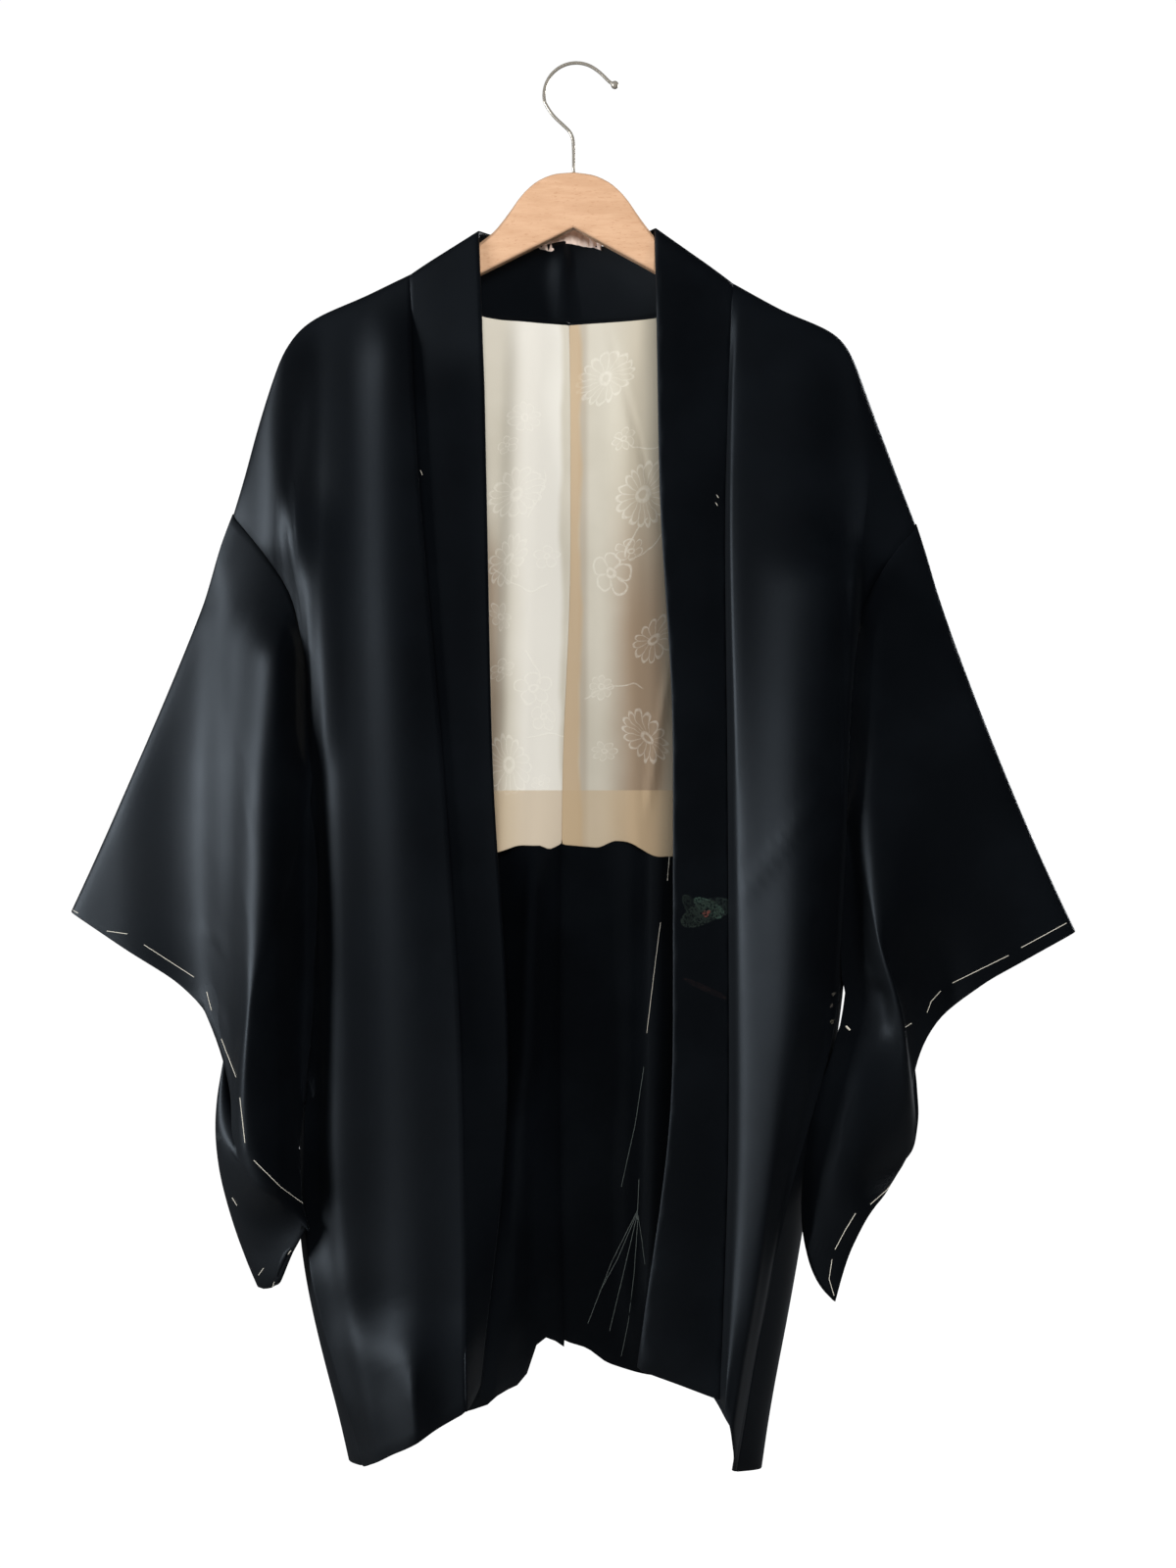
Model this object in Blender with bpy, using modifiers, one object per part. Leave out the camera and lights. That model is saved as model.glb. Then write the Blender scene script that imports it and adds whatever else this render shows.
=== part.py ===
"""A haori jacket on its wooden hanger, hung by the hook.

World frame in metres, +Z up, the viewer looks along +Y. The origin is the inside top of the hook.
Tables are in millimetres. Right and left are the wearer's: the right side lies at -X.
Each cloth is a grid of points drawn through its fold lines, then given its thickness.
"""

import math
from collections import namedtuple

import bmesh
import bpy
from mathutils import Vector

MM = 0.001

# Driving sizes, mm
CLOTH_WALL = 1.6            # doubled silk, as sewn
LINING_WALL = 1.2
COLLAR_WALL = 3.2           # the collar is folded from several layers
SEAM_GAP = 0.3
ARMHOLE_LENGTH = 230.0      # sleeve sewn to the body, measured down from the shoulder fold
SLEEVE_DEPTH = 490.0        # shoulder fold to sleeve bottom
LINING_ROWS = 11            # rows of the back that the lining covers
HANGER_THICKNESS = 11.0
WIRE_RADIUS = 1.5
HOOK_RADIUS = 26.4          # to the middle of the wire
HOOK_BALL_RADIUS = 3.3

ON_HANGER = 9.0             # half thickness of the shoulder fold where it lies on the hanger
ARMHOLE_ROWS = 6            # rows of the body that are sewn to the sleeve
BODY_ROWS = 22
STEPS = 3                   # columns of a grid from one fold line to the next
SLEEVE_ROWS = 18
SLEEVE_COLUMNS = 14
ARC_ANGLES = (0, 40, 90)    # degrees round the shoulder fold
COLLAR_COLUMNS = 4
GUSSET_COLUMNS = 4

# Seams and edges, mm
WALL_SLANT = 1.4            # a wall that meets its seam at a slant is this much wider along it
GUSSET_SLANT = 0.55
CENTRE_SEAM_HALF = 0.35     # half the gap between the two backs
COLLAR_SEAM_GAP = 1.6       # from the seam to the middle of the collar's half-thick edge
COLLAR_LIFT = 1.6           # the same, where the collar stands on the neckline of the back
NECKLINE_DROP = 0.04        # per degree of ARC_ANGLES: the first rows of a neckline lie this far apart
SAME_POINT = 0.5            # two layers this near each other are sewn together
RIDGE_FADE = 70.0           # a ridge fades out over this length past each end
GUSSET_FULLNESS = (1.5, 8.0)  # outward bulge at the armhole, and what the hem adds to it

# Shares of a sleeve
SLEEVE_CLOSING = 0.9        # of its depth, where the two layers start to come together
FOLDS_FROM_SEAM = 0.18      # of its width, where its folds have their full rise
FOLDS_AT_TOP = 0.3          # of a fold's rise that is left at the top fold
FOLDS_FROM_TOP = 0.2        # of its depth, where its folds have their full rise
ROLL_SHAPE = 2.2            # the back layer's bulge lies nearer to the outer edge the higher this is

# Each fold line runs from the shoulder or the neckline down to the hem. x and y are given at these
# shares of its height; fold_radius is the half thickness of the shoulder fold above it, 0 at a neckline.
HEIGHTS = (0, 0.08, 0.22, 0.45, 0.72, 1)
FoldLine = namedtuple("FoldLine", "name top_z hem_z fold_radius x y")

FRONT_RIGHT = (
    FoldLine("collar seam", -172, -1082, ON_HANGER,
             (-136, -134, -125, -107, -92, -88), (0, -2, -8, -18, -32, -46)),
    FoldLine("chest", -190, -1102, ON_HANGER,
             (-173, -172, -166, -152, -142, -124), (0, -5, -14, -24, -34, -46)),
    FoldLine("hanger end", -216, -1121, ON_HANGER,
             (-225, -209, -203, -198, -193, -153), (0, -8, -16, -18, -24, -38)),
    FoldLine("drop", -279, -1130, 5, (-251, -235, -213, -208, -207, -165), (0, -16, -14, -8, -14, -28)),
    FoldLine("side seam", -366, -1135, 3.5,
             (-278, -229, -213, -214, -219, -171), (0, -10, -10, -8, -12, -20)),
)
BACK_RIGHT = (
    FoldLine("centre seam", -205, -1057, 0, (-6, -5, -5, -12, -14, -11), (30, 33, 40, 48, 54, 58)),
    FoldLine("nape", -200, -1113, 0, (-77, -76, -75, -80, -91, -99), (26, 32, 42, 50, 50, 44)),
    FoldLine("neck turn", -178, -1130, 0,
             (-127, -127, -125, -127, -141, -144), (9.5, 16, 38, 50, 50, 43)),
    FoldLine("neck corner", -172, -1135, ON_HANGER,
             (-136, -136, -134, -135, -151, -153), (0, 14, 34, 44, 46, 40)),
    FoldLine("chest", -190, -1139, ON_HANGER,
             (-173, -176, -178, -174, -178, -164), (0, 13, 30, 38, 40, 34)),
    FoldLine("hanger end", -216, -1142, ON_HANGER,
             (-225, -210, -205, -202, -200, -166), (0, 12, 26, 32, 34, 28)),
    FoldLine("drop", -279, -1143, 5, (-251, -236, -215, -210, -212, -177), (0, 14, 18, 16, 20, 18)),
    FoldLine("side seam", -366, -1142, 3.5,
             (-278, -232, -216, -216, -224, -181), (0, 10, 10, 8, 14, 12)),
)
FRONT_LEFT = (
    FoldLine("collar seam", -179, -1085, ON_HANGER,
             (128, 125, 121, 123, 124, 117), (0, -2, -6, -8, -8, -8)),
    FoldLine("fold edge", -184, -1081, ON_HANGER,
             (137, 128, 124, 128, 130, 119), (0, -10, -26, -34, -36, -42)),
    FoldLine("chest", -202, -1095, ON_HANGER,
             (170, 164, 163, 168, 156, 123), (0, -12, -26, -38, -42, -42)),
    FoldLine("hanger end", -224, -1110, ON_HANGER,
             (216, 206, 203, 200, 164, 125), (0, -8, -16, -18, -32, -36)),
    FoldLine("drop", -286, -1126, 5, (242, 235, 214, 211, 168, 127), (0, -16, -14, -10, -26, -28)),
    FoldLine("side seam", -374, -1140, 3.5,
             (275, 231, 218, 215, 166, 127), (0, -10, -10, -8, -20, -20)),
)
BACK_LEFT = (
    FoldLine("centre seam", -205, -1057, 0, (-6, -5, -5, -12, -14, -11), (30, 33, 40, 48, 54, 58)),
    FoldLine("nape", -200, -1073, 0, (70, 72, 74, 69, 66, 55), (26, 32, 42, 48, 46, 42)),
    FoldLine("neck turn", -185, -1080, 0, (119, 121, 124, 127, 118, 93), (9.5, 16, 38, 50, 46, 35)),
    FoldLine("neck corner", -179, -1085, ON_HANGER,
             (128, 131, 134, 138, 129, 101), (0, 14, 34, 44, 42, 32)),
    FoldLine("fold edge", -184, -1092, ON_HANGER,
             (137, 146, 152, 156, 146, 110), (0, 14, 34, 42, 40, 31)),
    FoldLine("chest", -202, -1104, ON_HANGER, (170, 176, 182, 186, 164, 119), (0, 13, 30, 36, 34, 27)),
    FoldLine("hanger end", -224, -1118, ON_HANGER,
             (216, 208, 205, 204, 174, 127), (0, 12, 26, 30, 26, 22)),
    FoldLine("drop", -286, -1137, 5, (242, 236, 217, 214, 180, 142), (0, 14, 18, 14, 14, 10)),
    FoldLine("side seam", -374, -1148, 3.5, (275, 233, 221, 219, 188, 150), (0, 10, 10, 8, 10, 8)),
)

# A ridge stands proud of its cloth by rise, towards the outside; a hollow has a negative rise.
# right and left are its reach towards -X and +X.
Ridge = namedtuple("Ridge", "name top_x top_z low_x low_z top_rise low_rise right left")

FRONT_RIGHT_RIDGES = (
    Ridge("beside collar", -152, -260, -128, -1082, 9, 15, 20, 18),
    Ridge("mid front", -191, -280, -184, -930, 8, 12, 17, 16),
    Ridge("hanger end crest", -215, -236, -217, -430, 5, 5, 9, 12),
    Ridge("armhole hollow", -229, -290, -226, -470, -12, -8, 14, 12),
    Ridge("drop crest", -256, -310, -262, -410, 8, 6, 15, 18),
)
FRONT_LEFT_RIDGES = (
    Ridge("mid front", 186, -290, 176, -900, 8, 10, 18, 16),
    Ridge("armhole hollow", 214, -280, 214, -480, -11, -8, 13, 14),
    Ridge("drop crest", 250, -320, 246, -430, 8, 6, 17, 14),
    Ridge("hip crease", 196, -610, 158, -650, 4, 4, 14, 14),
)
BACK_RIGHT_RIDGES = (
    Ridge("inside pleat", -28, -500, -60, -1078, -4, -50, 44, 19),
    Ridge("shoulder blade", -112, -330, -124, -1100, 10, 16, 26, 24),
    Ridge("mid back", -176, -300, -178, -1120, 12, 14, 22, 22),
    Ridge("armhole hollow", -224, -290, -226, -480, -9, -7, 14, 14),
)
BACK_LEFT_RIDGES = (
    Ridge("centre fold", 34, -420, 22, -1060, 3, 8, 18, 20),
    Ridge("shoulder blade", 104, -330, 84, -1080, 10, 16, 24, 26),
    Ridge("mid back", 176, -300, 150, -1100, 12, 12, 22, 20),
    Ridge("armhole hollow", 220, -290, 222, -480, -9, -7, 14, 14),
)

# Free edge of the collar, by the same heights as the front it is sewn to; its top lies on the neck.
COLLAR_EDGE_RIGHT = FoldLine("free edge", -137, -1075, ON_HANGER,
    (-80, -77, -74, -69, -56, -79), (0, -3, -8, -18, -22, -2))
COLLAR_EDGE_LEFT = FoldLine("free edge", -134.5, -1059, ON_HANGER,
    (65, 66, 68, 79, 79, 50), (0, -3, -6, -8, -8, -2))
# The collar behind the neck stands up from the back's neckline to this edge.
NeckPoint = namedtuple("NeckPoint", "share x y z")
COLLAR_NAPE_EDGE = (
    NeckPoint(0.0, -7, 20, -140),
    NeckPoint(0.5, -40, 17, -145),
    NeckPoint(1.0, -72, 12.5, -135.8),
)

# A sleeve hangs from its top fold. depth is the share of its depth below that fold. The inner edge
# follows the armhole down to ARMHOLE_LENGTH and then hangs free: inner_gap is the half distance of its
# two layers there, back_out how much further out the back layer lies. mouth is the same half distance at
# the cuff, half_gap in the middle, sag the pull on the middle of the row, roll the bulge of the back
# layer past the sewn outer edge.
SleeveRow = namedtuple(
    "SleeveRow",
    "depth inner_x inner_y inner_z inner_gap back_out outer_x outer_y outer_z "
    "mouth half_gap sag_x sag_z roll_x roll_z",
)
SLEEVE_RIGHT = (
    SleeveRow(0.00, -278, 0, -366, 3.5, 0, -411, 0, -690, 3.5, 4, 4, -2, 0, 0),
    SleeveRow(0.15, -232, 0, -440, 13, 0, -356, -5, -725, 9, 13, 2, 0, 0, 0),
    SleeveRow(0.30, -216, 0, -510, 13, 0, -304, -12, -762, 12, 17, 0, 0, -6, 0),
    SleeveRow(0.47, -219, 0, -578, 13.5, 0, -274, -22, -832, 8, 18, 0, 0, -18, -4),
    SleeveRow(0.65, -214, -4, -667, 18, 8, -268, -26, -876, 0, 16, -4, -6, -28, -6),
    SleeveRow(0.82, -217, -8, -754, 14, 14, -246, -28, -908, 0, 13, -8, -10, -38, -34),
    SleeveRow(0.93, -221, -18, -810, 14, 6, -228, -34, -932, 0, 12, -8, -10, -20, -98),
    SleeveRow(1.00, -224, -26, -845, 0, 0, -214, -38, -944, 0, 3, -8, -10, 0, 0),
)
SLEEVE_LEFT = (
    SleeveRow(0.00, 275, 0, -374, 3.5, 0, 406, 0, -706, 3.5, 4, -6, -3, 0, 0),
    SleeveRow(0.15, 233, 0, -450, 13, 0, 349, -5, -736, 9, 13, -3, 0, 0, 0),
    SleeveRow(0.30, 221, 0, -520, 13, 0, 292, -12, -770, 12, 17, 0, 0, -5, 0),
    SleeveRow(0.47, 223, 0, -588, 13.5, 0, 267, -20, -826, 8, 18, 0, 0, 2, 0),
    SleeveRow(0.65, 220, -4, -671, 18, 7, 271, -26, -878, 0, 16, 4, -6, 10, -2),
    SleeveRow(0.82, 214, -10, -759, 14, 12, 240, -28, -925, 0, 13, -4, -18, 4, -8),
    SleeveRow(0.92, 204, -20, -822, 12, 4, 218, -29, -964, 0, 10, -12, -18, 2, -10),
    SleeveRow(1.00, 188, -27, -876, 0, 0, 207, -30, -1003, 0, 3, -14, -16, 0, 0),
)
# Folds of the sleeves run through both layers, towards the viewer where the rise is positive.
SLEEVE_RIGHT_FOLDS = (
    Ridge("bright fold", -268, -520, -257, -900, 20, 34, 24, 22),
    Ridge("inner hollow", -229, -560, -224, -870, -10, -24, 18, 14),
    Ridge("middle hollow", -300, -610, -290, -780, -10, -28, 20, 20),
    Ridge("cuff fold", -336, -650, -326, -780, 6, 22, 18, 18),
    Ridge("tip hollow", -372, -690, -362, -770, -5, -14, 20, 18),
)
SLEEVE_LEFT_FOLDS = (
    Ridge("bright fold", 240, -520, 254, -900, 18, 32, 14, 18),
    Ridge("inner hollow", 224, -560, 222, -880, -8, -20, 12, 12),
    Ridge("middle hollow", 284, -610, 286, -800, -10, -28, 20, 18),
    Ridge("cuff fold", 322, -650, 316, -790, 6, 22, 20, 18),
    Ridge("tip hollow", 362, -690, 356, -770, -5, -14, 18, 18),
)

# Hanger: sections out from the middle, the same on both sides.
HangerSection = namedtuple("HangerSection", "out top_z top_chamfer")
HANGER_MIDDLE_X = -2.0
HANGER_TILT = 1.4           # degrees, the wearer's left shoulder lower
HANGER_SECTIONS = (
    HangerSection(0, -89, 1.5),
    HangerSection(14, -90.5, 1.5),
    HangerSection(28, -96, 1.5),
    HangerSection(40, -106, 1.5),
    HangerSection(56, -127.0, 4.0),
    HangerSection(66, -139, 4.2),
    HangerSection(132, -182.5, 4.2),
    HangerSection(172, -201.5, 4.2),
    HangerSection(208, -219, 4.2),
    HangerSection(214, -224, 4.2),
)
HANGER_APEX_Z = -134.0      # middle of the straight underside, which falls to both ends
HANGER_UNDERSIDE_SLOPE = 0.52
HANGER_END_Z = -240.0       # the underside levels out here
HANGER_CHAMFER = 1.5        # along the underside
HANGER_FILL = 3             # stations between two sections

# Hook below its round part: middle of the wire, x and z
HOOK_STEM = (
    (-25.6, -31), (-21.5, -38), (-16.5, -44), (-10, -50), (-4.5, -56), (-2.4, -63), (-2, -76), (-2, -88.7),
)
HOOK_TIP = ((31.5, -16.6), (27.5, -14.3), (24, -11), (20.5, -7.5))  # from the ball to the round part
HOOK_ROUND_ANGLE = 54       # degrees above the horizontal where the round part starts
HOOK_STEM_ANGLE = 192       # where it turns into the stem
HOOK_TURN_STEPS = 18


def slopes_of(knots, values):
    """Slopes that keep a smooth curve from swinging past its values."""
    steps = [b - a for a, b in zip(knots, knots[1:])]
    rises = [(b - a) / step for a, b, step in zip(values, values[1:], steps)]
    slopes = [rises[0]]
    for before, after, left, right in zip(rises, rises[1:], steps, steps[1:]):
        if before * after <= 0:
            slopes.append(0.0)
            continue
        near, far = 2 * right + left, right + 2 * left
        slopes.append((near + far) / (near / before + far / after))
    return slopes + [rises[-1]]


def smooth_value(knots, values, at):
    """Value of the smooth curve through values at knots."""
    slopes = slopes_of(knots, values)
    span = next((i for i in range(len(knots) - 2) if at < knots[i + 1]), len(knots) - 2)
    width = knots[span + 1] - knots[span]
    t = (at - knots[span]) / width
    start = (1 + 2 * t) * (1 - t) ** 2 * values[span] + t * (1 - t) ** 2 * width * slopes[span]
    end = t * t * (3 - 2 * t) * values[span + 1] + t * t * (t - 1) * width * slopes[span + 1]
    return start + end


def soft_step(t):
    t = min(max(t, 0.0), 1.0)
    return t * t * (3 - 2 * t)


def ridge_rise(ridges, x, z):
    """How far the ridges lift the cloth at x, z."""
    total = 0.0
    for ridge in ridges:
        along = (ridge.top_z - z) / (ridge.top_z - ridge.low_z)
        crest_x = ridge.top_x + (ridge.low_x - ridge.top_x) * along
        rise = ridge.top_rise + (ridge.low_rise - ridge.top_rise) * min(max(along, 0), 1)
        past_end = max(z - ridge.top_z, ridge.low_z - z, 0) / RIDGE_FADE
        reach = ridge.left if x > crest_x else ridge.right
        away = abs(x - crest_x) / reach
        if away < 1 and past_end < 1:
            total += rise * 0.5 * (1 + math.cos(math.pi * away)) * soft_step(1 - past_end)
    return total


def point_on_line(line, height, facing):
    """Point of a fold line at a share of its height below the shoulder fold."""
    z = line.top_z - line.fold_radius + height * (line.hem_z - line.top_z + line.fold_radius)
    y = facing * line.fold_radius + smooth_value(HEIGHTS, line.y, height)
    return Vector((smooth_value(HEIGHTS, line.x, height), y, z))


def point_on_arc(line, angle, facing):
    """Point of a fold line on the shoulder fold, angle degrees round from its top."""
    turn = math.radians(angle)
    if not line.fold_radius:
        return Vector((line.x[0], line.y[0], line.top_z - angle * NECKLINE_DROP))
    y = facing * line.fold_radius * math.sin(turn)
    return Vector((line.x[0], y, line.top_z - line.fold_radius * (1 - math.cos(turn))))


def row_through(points, steps):
    """The points, with steps - 1 smooth ones between each two."""
    knots = list(range(len(points)))
    count = (len(points) - 1) * steps
    return [
        Vector([smooth_value(knots, [point[axis] for point in points], i / steps) for axis in range(3)])
        for i in range(count + 1)
    ]


def panel_grid(lines, ridges, facing, steps):
    """Rows of points of one cloth, from its top to its hem. facing is -1 for a front, 1 for a back."""
    rows = []
    for angle in ARC_ANGLES:
        rows.append(row_through([point_on_arc(line, angle, facing) for line in lines], steps))
    for i in range(1, BODY_ROWS + 1):
        row = row_through([point_on_line(line, i / BODY_ROWS, facing) for line in lines], steps)
        for point in row:
            point.y += facing * ridge_rise(ridges, point.x, point.z)
        rows.append(row)
    return rows


def material(name, colour, roughness, metallic=0.0):
    made = bpy.data.materials.new(name)
    made.use_nodes = True
    shader = made.node_tree.nodes["Principled BSDF"]
    shader.inputs["Base Color"].default_value = (*colour, 1)
    shader.inputs["Roughness"].default_value = roughness
    shader.inputs["Metallic"].default_value = metallic
    return made


def solid_object(name, form, finish, collection):
    """A closed bmesh made an object."""
    bmesh.ops.recalc_face_normals(form, faces=form.faces)
    mesh = bpy.data.meshes.new(name)
    form.to_mesh(mesh)
    form.free()
    mesh.shade_smooth()
    mesh.materials.append(finish)
    made = bpy.data.objects.new(name, mesh)
    collection.objects.link(made)
    return made


def cloth(name, grids, wall, finish, collection, thin_edge=None):
    """One sheet from grids that share their common edges, given its thickness.

    thin_edge is a column of the only grid that has half the thickness, as at a seam allowance.
    """
    sheet = bmesh.new()
    for rows in grids:
        made = [[sheet.verts.new(point * MM) for point in row] for row in rows]
        for upper, lower in zip(made, made[1:]):
            for i in range(len(upper) - 1):
                sheet.faces.new((upper[i], lower[i], lower[i + 1], upper[i + 1]))
    bmesh.ops.remove_doubles(sheet, verts=sheet.verts, dist=1e-6)
    made = solid_object(name, sheet, finish, collection)
    thicken = made.modifiers.new("wall", "SOLIDIFY")
    thicken.thickness = wall * MM
    thicken.offset = 0
    if thin_edge is not None:
        width = len(grids[0][0])
        group = made.vertex_groups.new(name="wall")
        group.add(range(len(made.data.vertices)), 1.0, "REPLACE")
        group.add([i for i in range(len(made.data.vertices)) if i % width == thin_edge], 0.5, "REPLACE")
        thicken.vertex_group = group.name
    return made


def beyond(edge, inside, gap=SEAM_GAP + CLOTH_WALL):
    """An edge's points moved on by a seam's gap, square to the edge and away from the points inside."""
    moved = []
    for i, (point, back) in enumerate(zip(edge, inside)):
        along = (edge[min(i + 1, len(edge) - 1)] - edge[max(i - 1, 0)]).normalized()
        away = point - back
        away -= along * away.dot(along)
        moved.append(point + away.normalized() * gap)
    return moved


def column(rows, index):
    return [row[index] for row in rows]


def body_grids(front_lines, front_ridges, back_lines, back_ridges, side):
    """Front and back of one body cloth, which meet along the shoulder fold."""
    front = panel_grid(front_lines, front_ridges, -1, STEPS)
    back = panel_grid(back_lines, back_ridges, 1, STEPS)
    neck_corner = (len(back_lines) - len(front_lines)) * STEPS
    back[0][neck_corner:] = front[0]
    for row in back:
        row[0] = row[0] + Vector((side * CENTRE_SEAM_HALF, 0, 0))
    return front, back, neck_corner


def sleeve_grids(table, folds, front, back):
    """Front and back layer of a sleeve. Its upper inner edge follows the body's side."""
    depths = [row.depth for row in table]
    armhole = ARMHOLE_LENGTH / SLEEVE_DEPTH
    arcs = len(ARC_ANGLES)
    sewn = arcs + ARMHOLE_ROWS
    top_radius = table[0].mouth
    shares = [top_radius * (1 - math.cos(math.radians(angle))) / SLEEVE_DEPTH for angle in ARC_ANGLES]
    shares += [armhole * i / ARMHOLE_ROWS for i in range(1, ARMHOLE_ROWS + 1)]
    loose = SLEEVE_ROWS - ARMHOLE_ROWS
    shares += [armhole + (1 - armhole) * i / loose for i in range(1, loose + 1)]

    def at(field, share):
        return smooth_value(depths, [getattr(row, field) for row in table], share)

    layers = []
    for rows, facing in ((front, -1), (back, 1)):
        seam = beyond(column(rows, -1)[:sewn], column(rows, -2)[:sewn], SEAM_GAP + WALL_SLANT * CLOTH_WALL)
        layer = []
        for i, share in enumerate(shares):
            closed = 1 - soft_step((share - SLEEVE_CLOSING) / (1 - SLEEVE_CLOSING)) ** 2
            if i < sewn:
                inner = seam[i]
            else:
                inner = Vector((at("inner_x", share), at("inner_y", share), at("inner_z", share)))
                inner.y += facing * at("inner_gap", share) * closed
                if facing > 0:
                    inner.x += math.copysign(at("back_out", share), inner.x)
            outer = Vector((at("outer_x", share), at("outer_y", share), at("outer_z", share)))
            outer.y += facing * at("mouth", share)
            row = []
            for j in range(SLEEVE_COLUMNS + 1):
                u = j / SLEEVE_COLUMNS
                point = inner.lerp(outer, u)
                if i < arcs:
                    point.y = facing * top_radius * math.sin(math.radians(ARC_ANGLES[i]))
                    spread = 0.0
                else:
                    spread = math.sin(math.pi * u) * closed
                point.x += 4 * u * (1 - u) * at("sag_x", share)
                point.z += 4 * u * (1 - u) * at("sag_z", share)
                point.y += facing * at("half_gap", share) * spread
                if facing > 0:
                    bulge = math.sin(math.pi * u ** ROLL_SHAPE)
                    point.x += at("roll_x", share) * bulge
                    point.z += at("roll_z", share) * bulge
                held = FOLDS_AT_TOP + (1 - FOLDS_AT_TOP) * soft_step(share / FOLDS_FROM_TOP)
                held *= soft_step(u / FOLDS_FROM_SEAM)
                flat = inner.lerp(outer, u)
                point.y -= held * ridge_rise(folds, flat.x, flat.z)
                row.append(point)
            layer.append(row)
        layers.append(layer)
    for row_front, row_back in zip(*layers):
        if (row_front[-1] - row_back[-1]).length < SAME_POINT:
            row_back[-1] = row_front[-1].copy()
    layers[1][0] = [point.copy() for point in layers[0][0]]
    layers[1][-1] = [point.copy() for point in layers[0][-1]]
    return layers


def gusset_grid(front, back, side):
    """The narrow piece between front and back below the armhole."""
    first = len(ARC_ANGLES) + ARMHOLE_ROWS
    gap = SEAM_GAP + GUSSET_SLANT * CLOTH_WALL
    front_edge = beyond(column(front, -1)[first:], column(front, -2)[first:], gap)
    back_edge = beyond(column(back, -1)[first:], column(back, -2)[first:], gap)
    least, more = GUSSET_FULLNESS
    rows = []
    for i, (near, far) in enumerate(zip(front_edge, back_edge)):
        fullness = least + more * (i / (len(front_edge) - 1)) ** 2
        row = []
        for j in range(GUSSET_COLUMNS + 1):
            u = j / GUSSET_COLUMNS
            row.append(near.lerp(far, u) + Vector((side * fullness * math.sin(math.pi * u), 0, 0)))
        rows.append(row)
    return rows


def lining_grid(back, neck_corner):
    """The lining inside one back, made from the back's points moved in."""
    distance = (CLOTH_WALL + LINING_WALL) / 2 + SEAM_GAP
    rows = []
    for i in range(1, LINING_ROWS + len(ARC_ANGLES)):
        row = []
        for j in range(neck_corner + 1):
            across = back[i][j + 1] - back[i][max(j - 1, 0)]
            down = back[i + 1][j] - back[i - 1][j]
            normal = across.cross(down).normalized()
            if normal.y > 0:
                normal.negate()
            if j == 0:
                normal = Vector((0, -1, 0))
            row.append(back[i][j] + normal * distance)
        rows.append(row)
    return rows


def collar_half(front, back, neck_corner, edge):
    """Rows across the collar from the hem up to the centre of the neck, seam first."""
    seam = beyond(column(front, 0), column(front, 1), COLLAR_SEAM_GAP)
    rows = []
    for i, angle in enumerate(ARC_ANGLES):
        rows.append((seam[i], point_on_arc(edge, angle, -1)))
    for i in range(1, BODY_ROWS + 1):
        rows.append((seam[len(ARC_ANGLES) - 1 + i], point_on_line(edge, i / BODY_ROWS, -1)))
    rows.reverse()
    shares = [point.share for point in COLLAR_NAPE_EDGE]
    middle = COLLAR_NAPE_EDGE[0].x
    for j in range(neck_corner - 1, -1, -1):
        neckline = back[0][j] + Vector((0, 0, COLLAR_LIFT))
        x, y, z = (
            smooth_value(shares, [getattr(point, axis) for point in COLLAR_NAPE_EDGE], j / neck_corner)
            for axis in "xyz"
        )
        if edge.x[0] > middle:
            x = 2 * middle - x
        rows.append((neckline, Vector((x, y, z))))
    return rows


def collar_grid(right, left):
    halves = right + left[-2::-1]
    return [[seam.lerp(free, j / COLLAR_COLUMNS) for j in range(COLLAR_COLUMNS + 1)] for seam, free in halves]


def make_hanger(finish, collection):
    """The wooden hanger: a plate with chamfered edges, lofted through sections along X."""
    outs = [section.out for section in HANGER_SECTIONS]
    tops = [section.top_z for section in HANGER_SECTIONS]
    chamfers = [section.top_chamfer for section in HANGER_SECTIONS]
    tilt = math.tan(math.radians(HANGER_TILT))
    half = []
    for i in range(len(outs) - 1):
        half += [outs[i] + (outs[i + 1] - outs[i]) * k / HANGER_FILL for k in range(HANGER_FILL)]
    half.append(outs[-1])
    stations = [-out for out in reversed(half[1:])] + half
    face = HANGER_THICKNESS / 2
    low_edge = face - HANGER_CHAMFER
    form = bmesh.new()
    rings = []
    for place in stations:
        top = smooth_value(outs, tops, abs(place))
        bottom = max(HANGER_APEX_Z - HANGER_UNDERSIDE_SLOPE * abs(place), HANGER_END_Z)
        chamfer = smooth_value(outs, chamfers, abs(place))
        edge, upper, lower = face - chamfer, top - chamfer, bottom + HANGER_CHAMFER
        corners = (
            (edge, top), (face, upper), (face, lower), (low_edge, bottom),
            (-low_edge, bottom), (-face, lower), (-face, upper), (-edge, top),
        )
        x = HANGER_MIDDLE_X + place
        rings.append([form.verts.new(Vector((x, y, z - tilt * place)) * MM) for y, z in corners])
    for ring, following in zip(rings, rings[1:]):
        for k in range(len(ring)):
            form.faces.new((ring[k], ring[k - 1], following[k - 1], following[k]))
    form.faces.new(rings[0])
    form.faces.new(rings[-1])
    return solid_object("hanger_wood", form, finish, collection)


def hook_route():
    """Middle of the wire from the ball, over the top and down the stem."""
    centre_z = WIRE_RADIUS - HOOK_RADIUS
    points = []
    for i in range(HOOK_TURN_STEPS + 1):
        turn = math.radians(HOOK_ROUND_ANGLE + (HOOK_STEM_ANGLE - HOOK_ROUND_ANGLE) * i / HOOK_TURN_STEPS)
        points.append(Vector((HOOK_RADIUS * math.cos(turn), 0, centre_z + HOOK_RADIUS * math.sin(turn))))
    stem = [Vector((x, 0, z)) for x, z in HOOK_STEM]
    tip = [Vector((x, 0, z)) for x, z in HOOK_TIP]
    return row_through(tip + points[:1], STEPS)[:-1] + points + row_through(points[-1:] + stem, STEPS)[1:]


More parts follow.
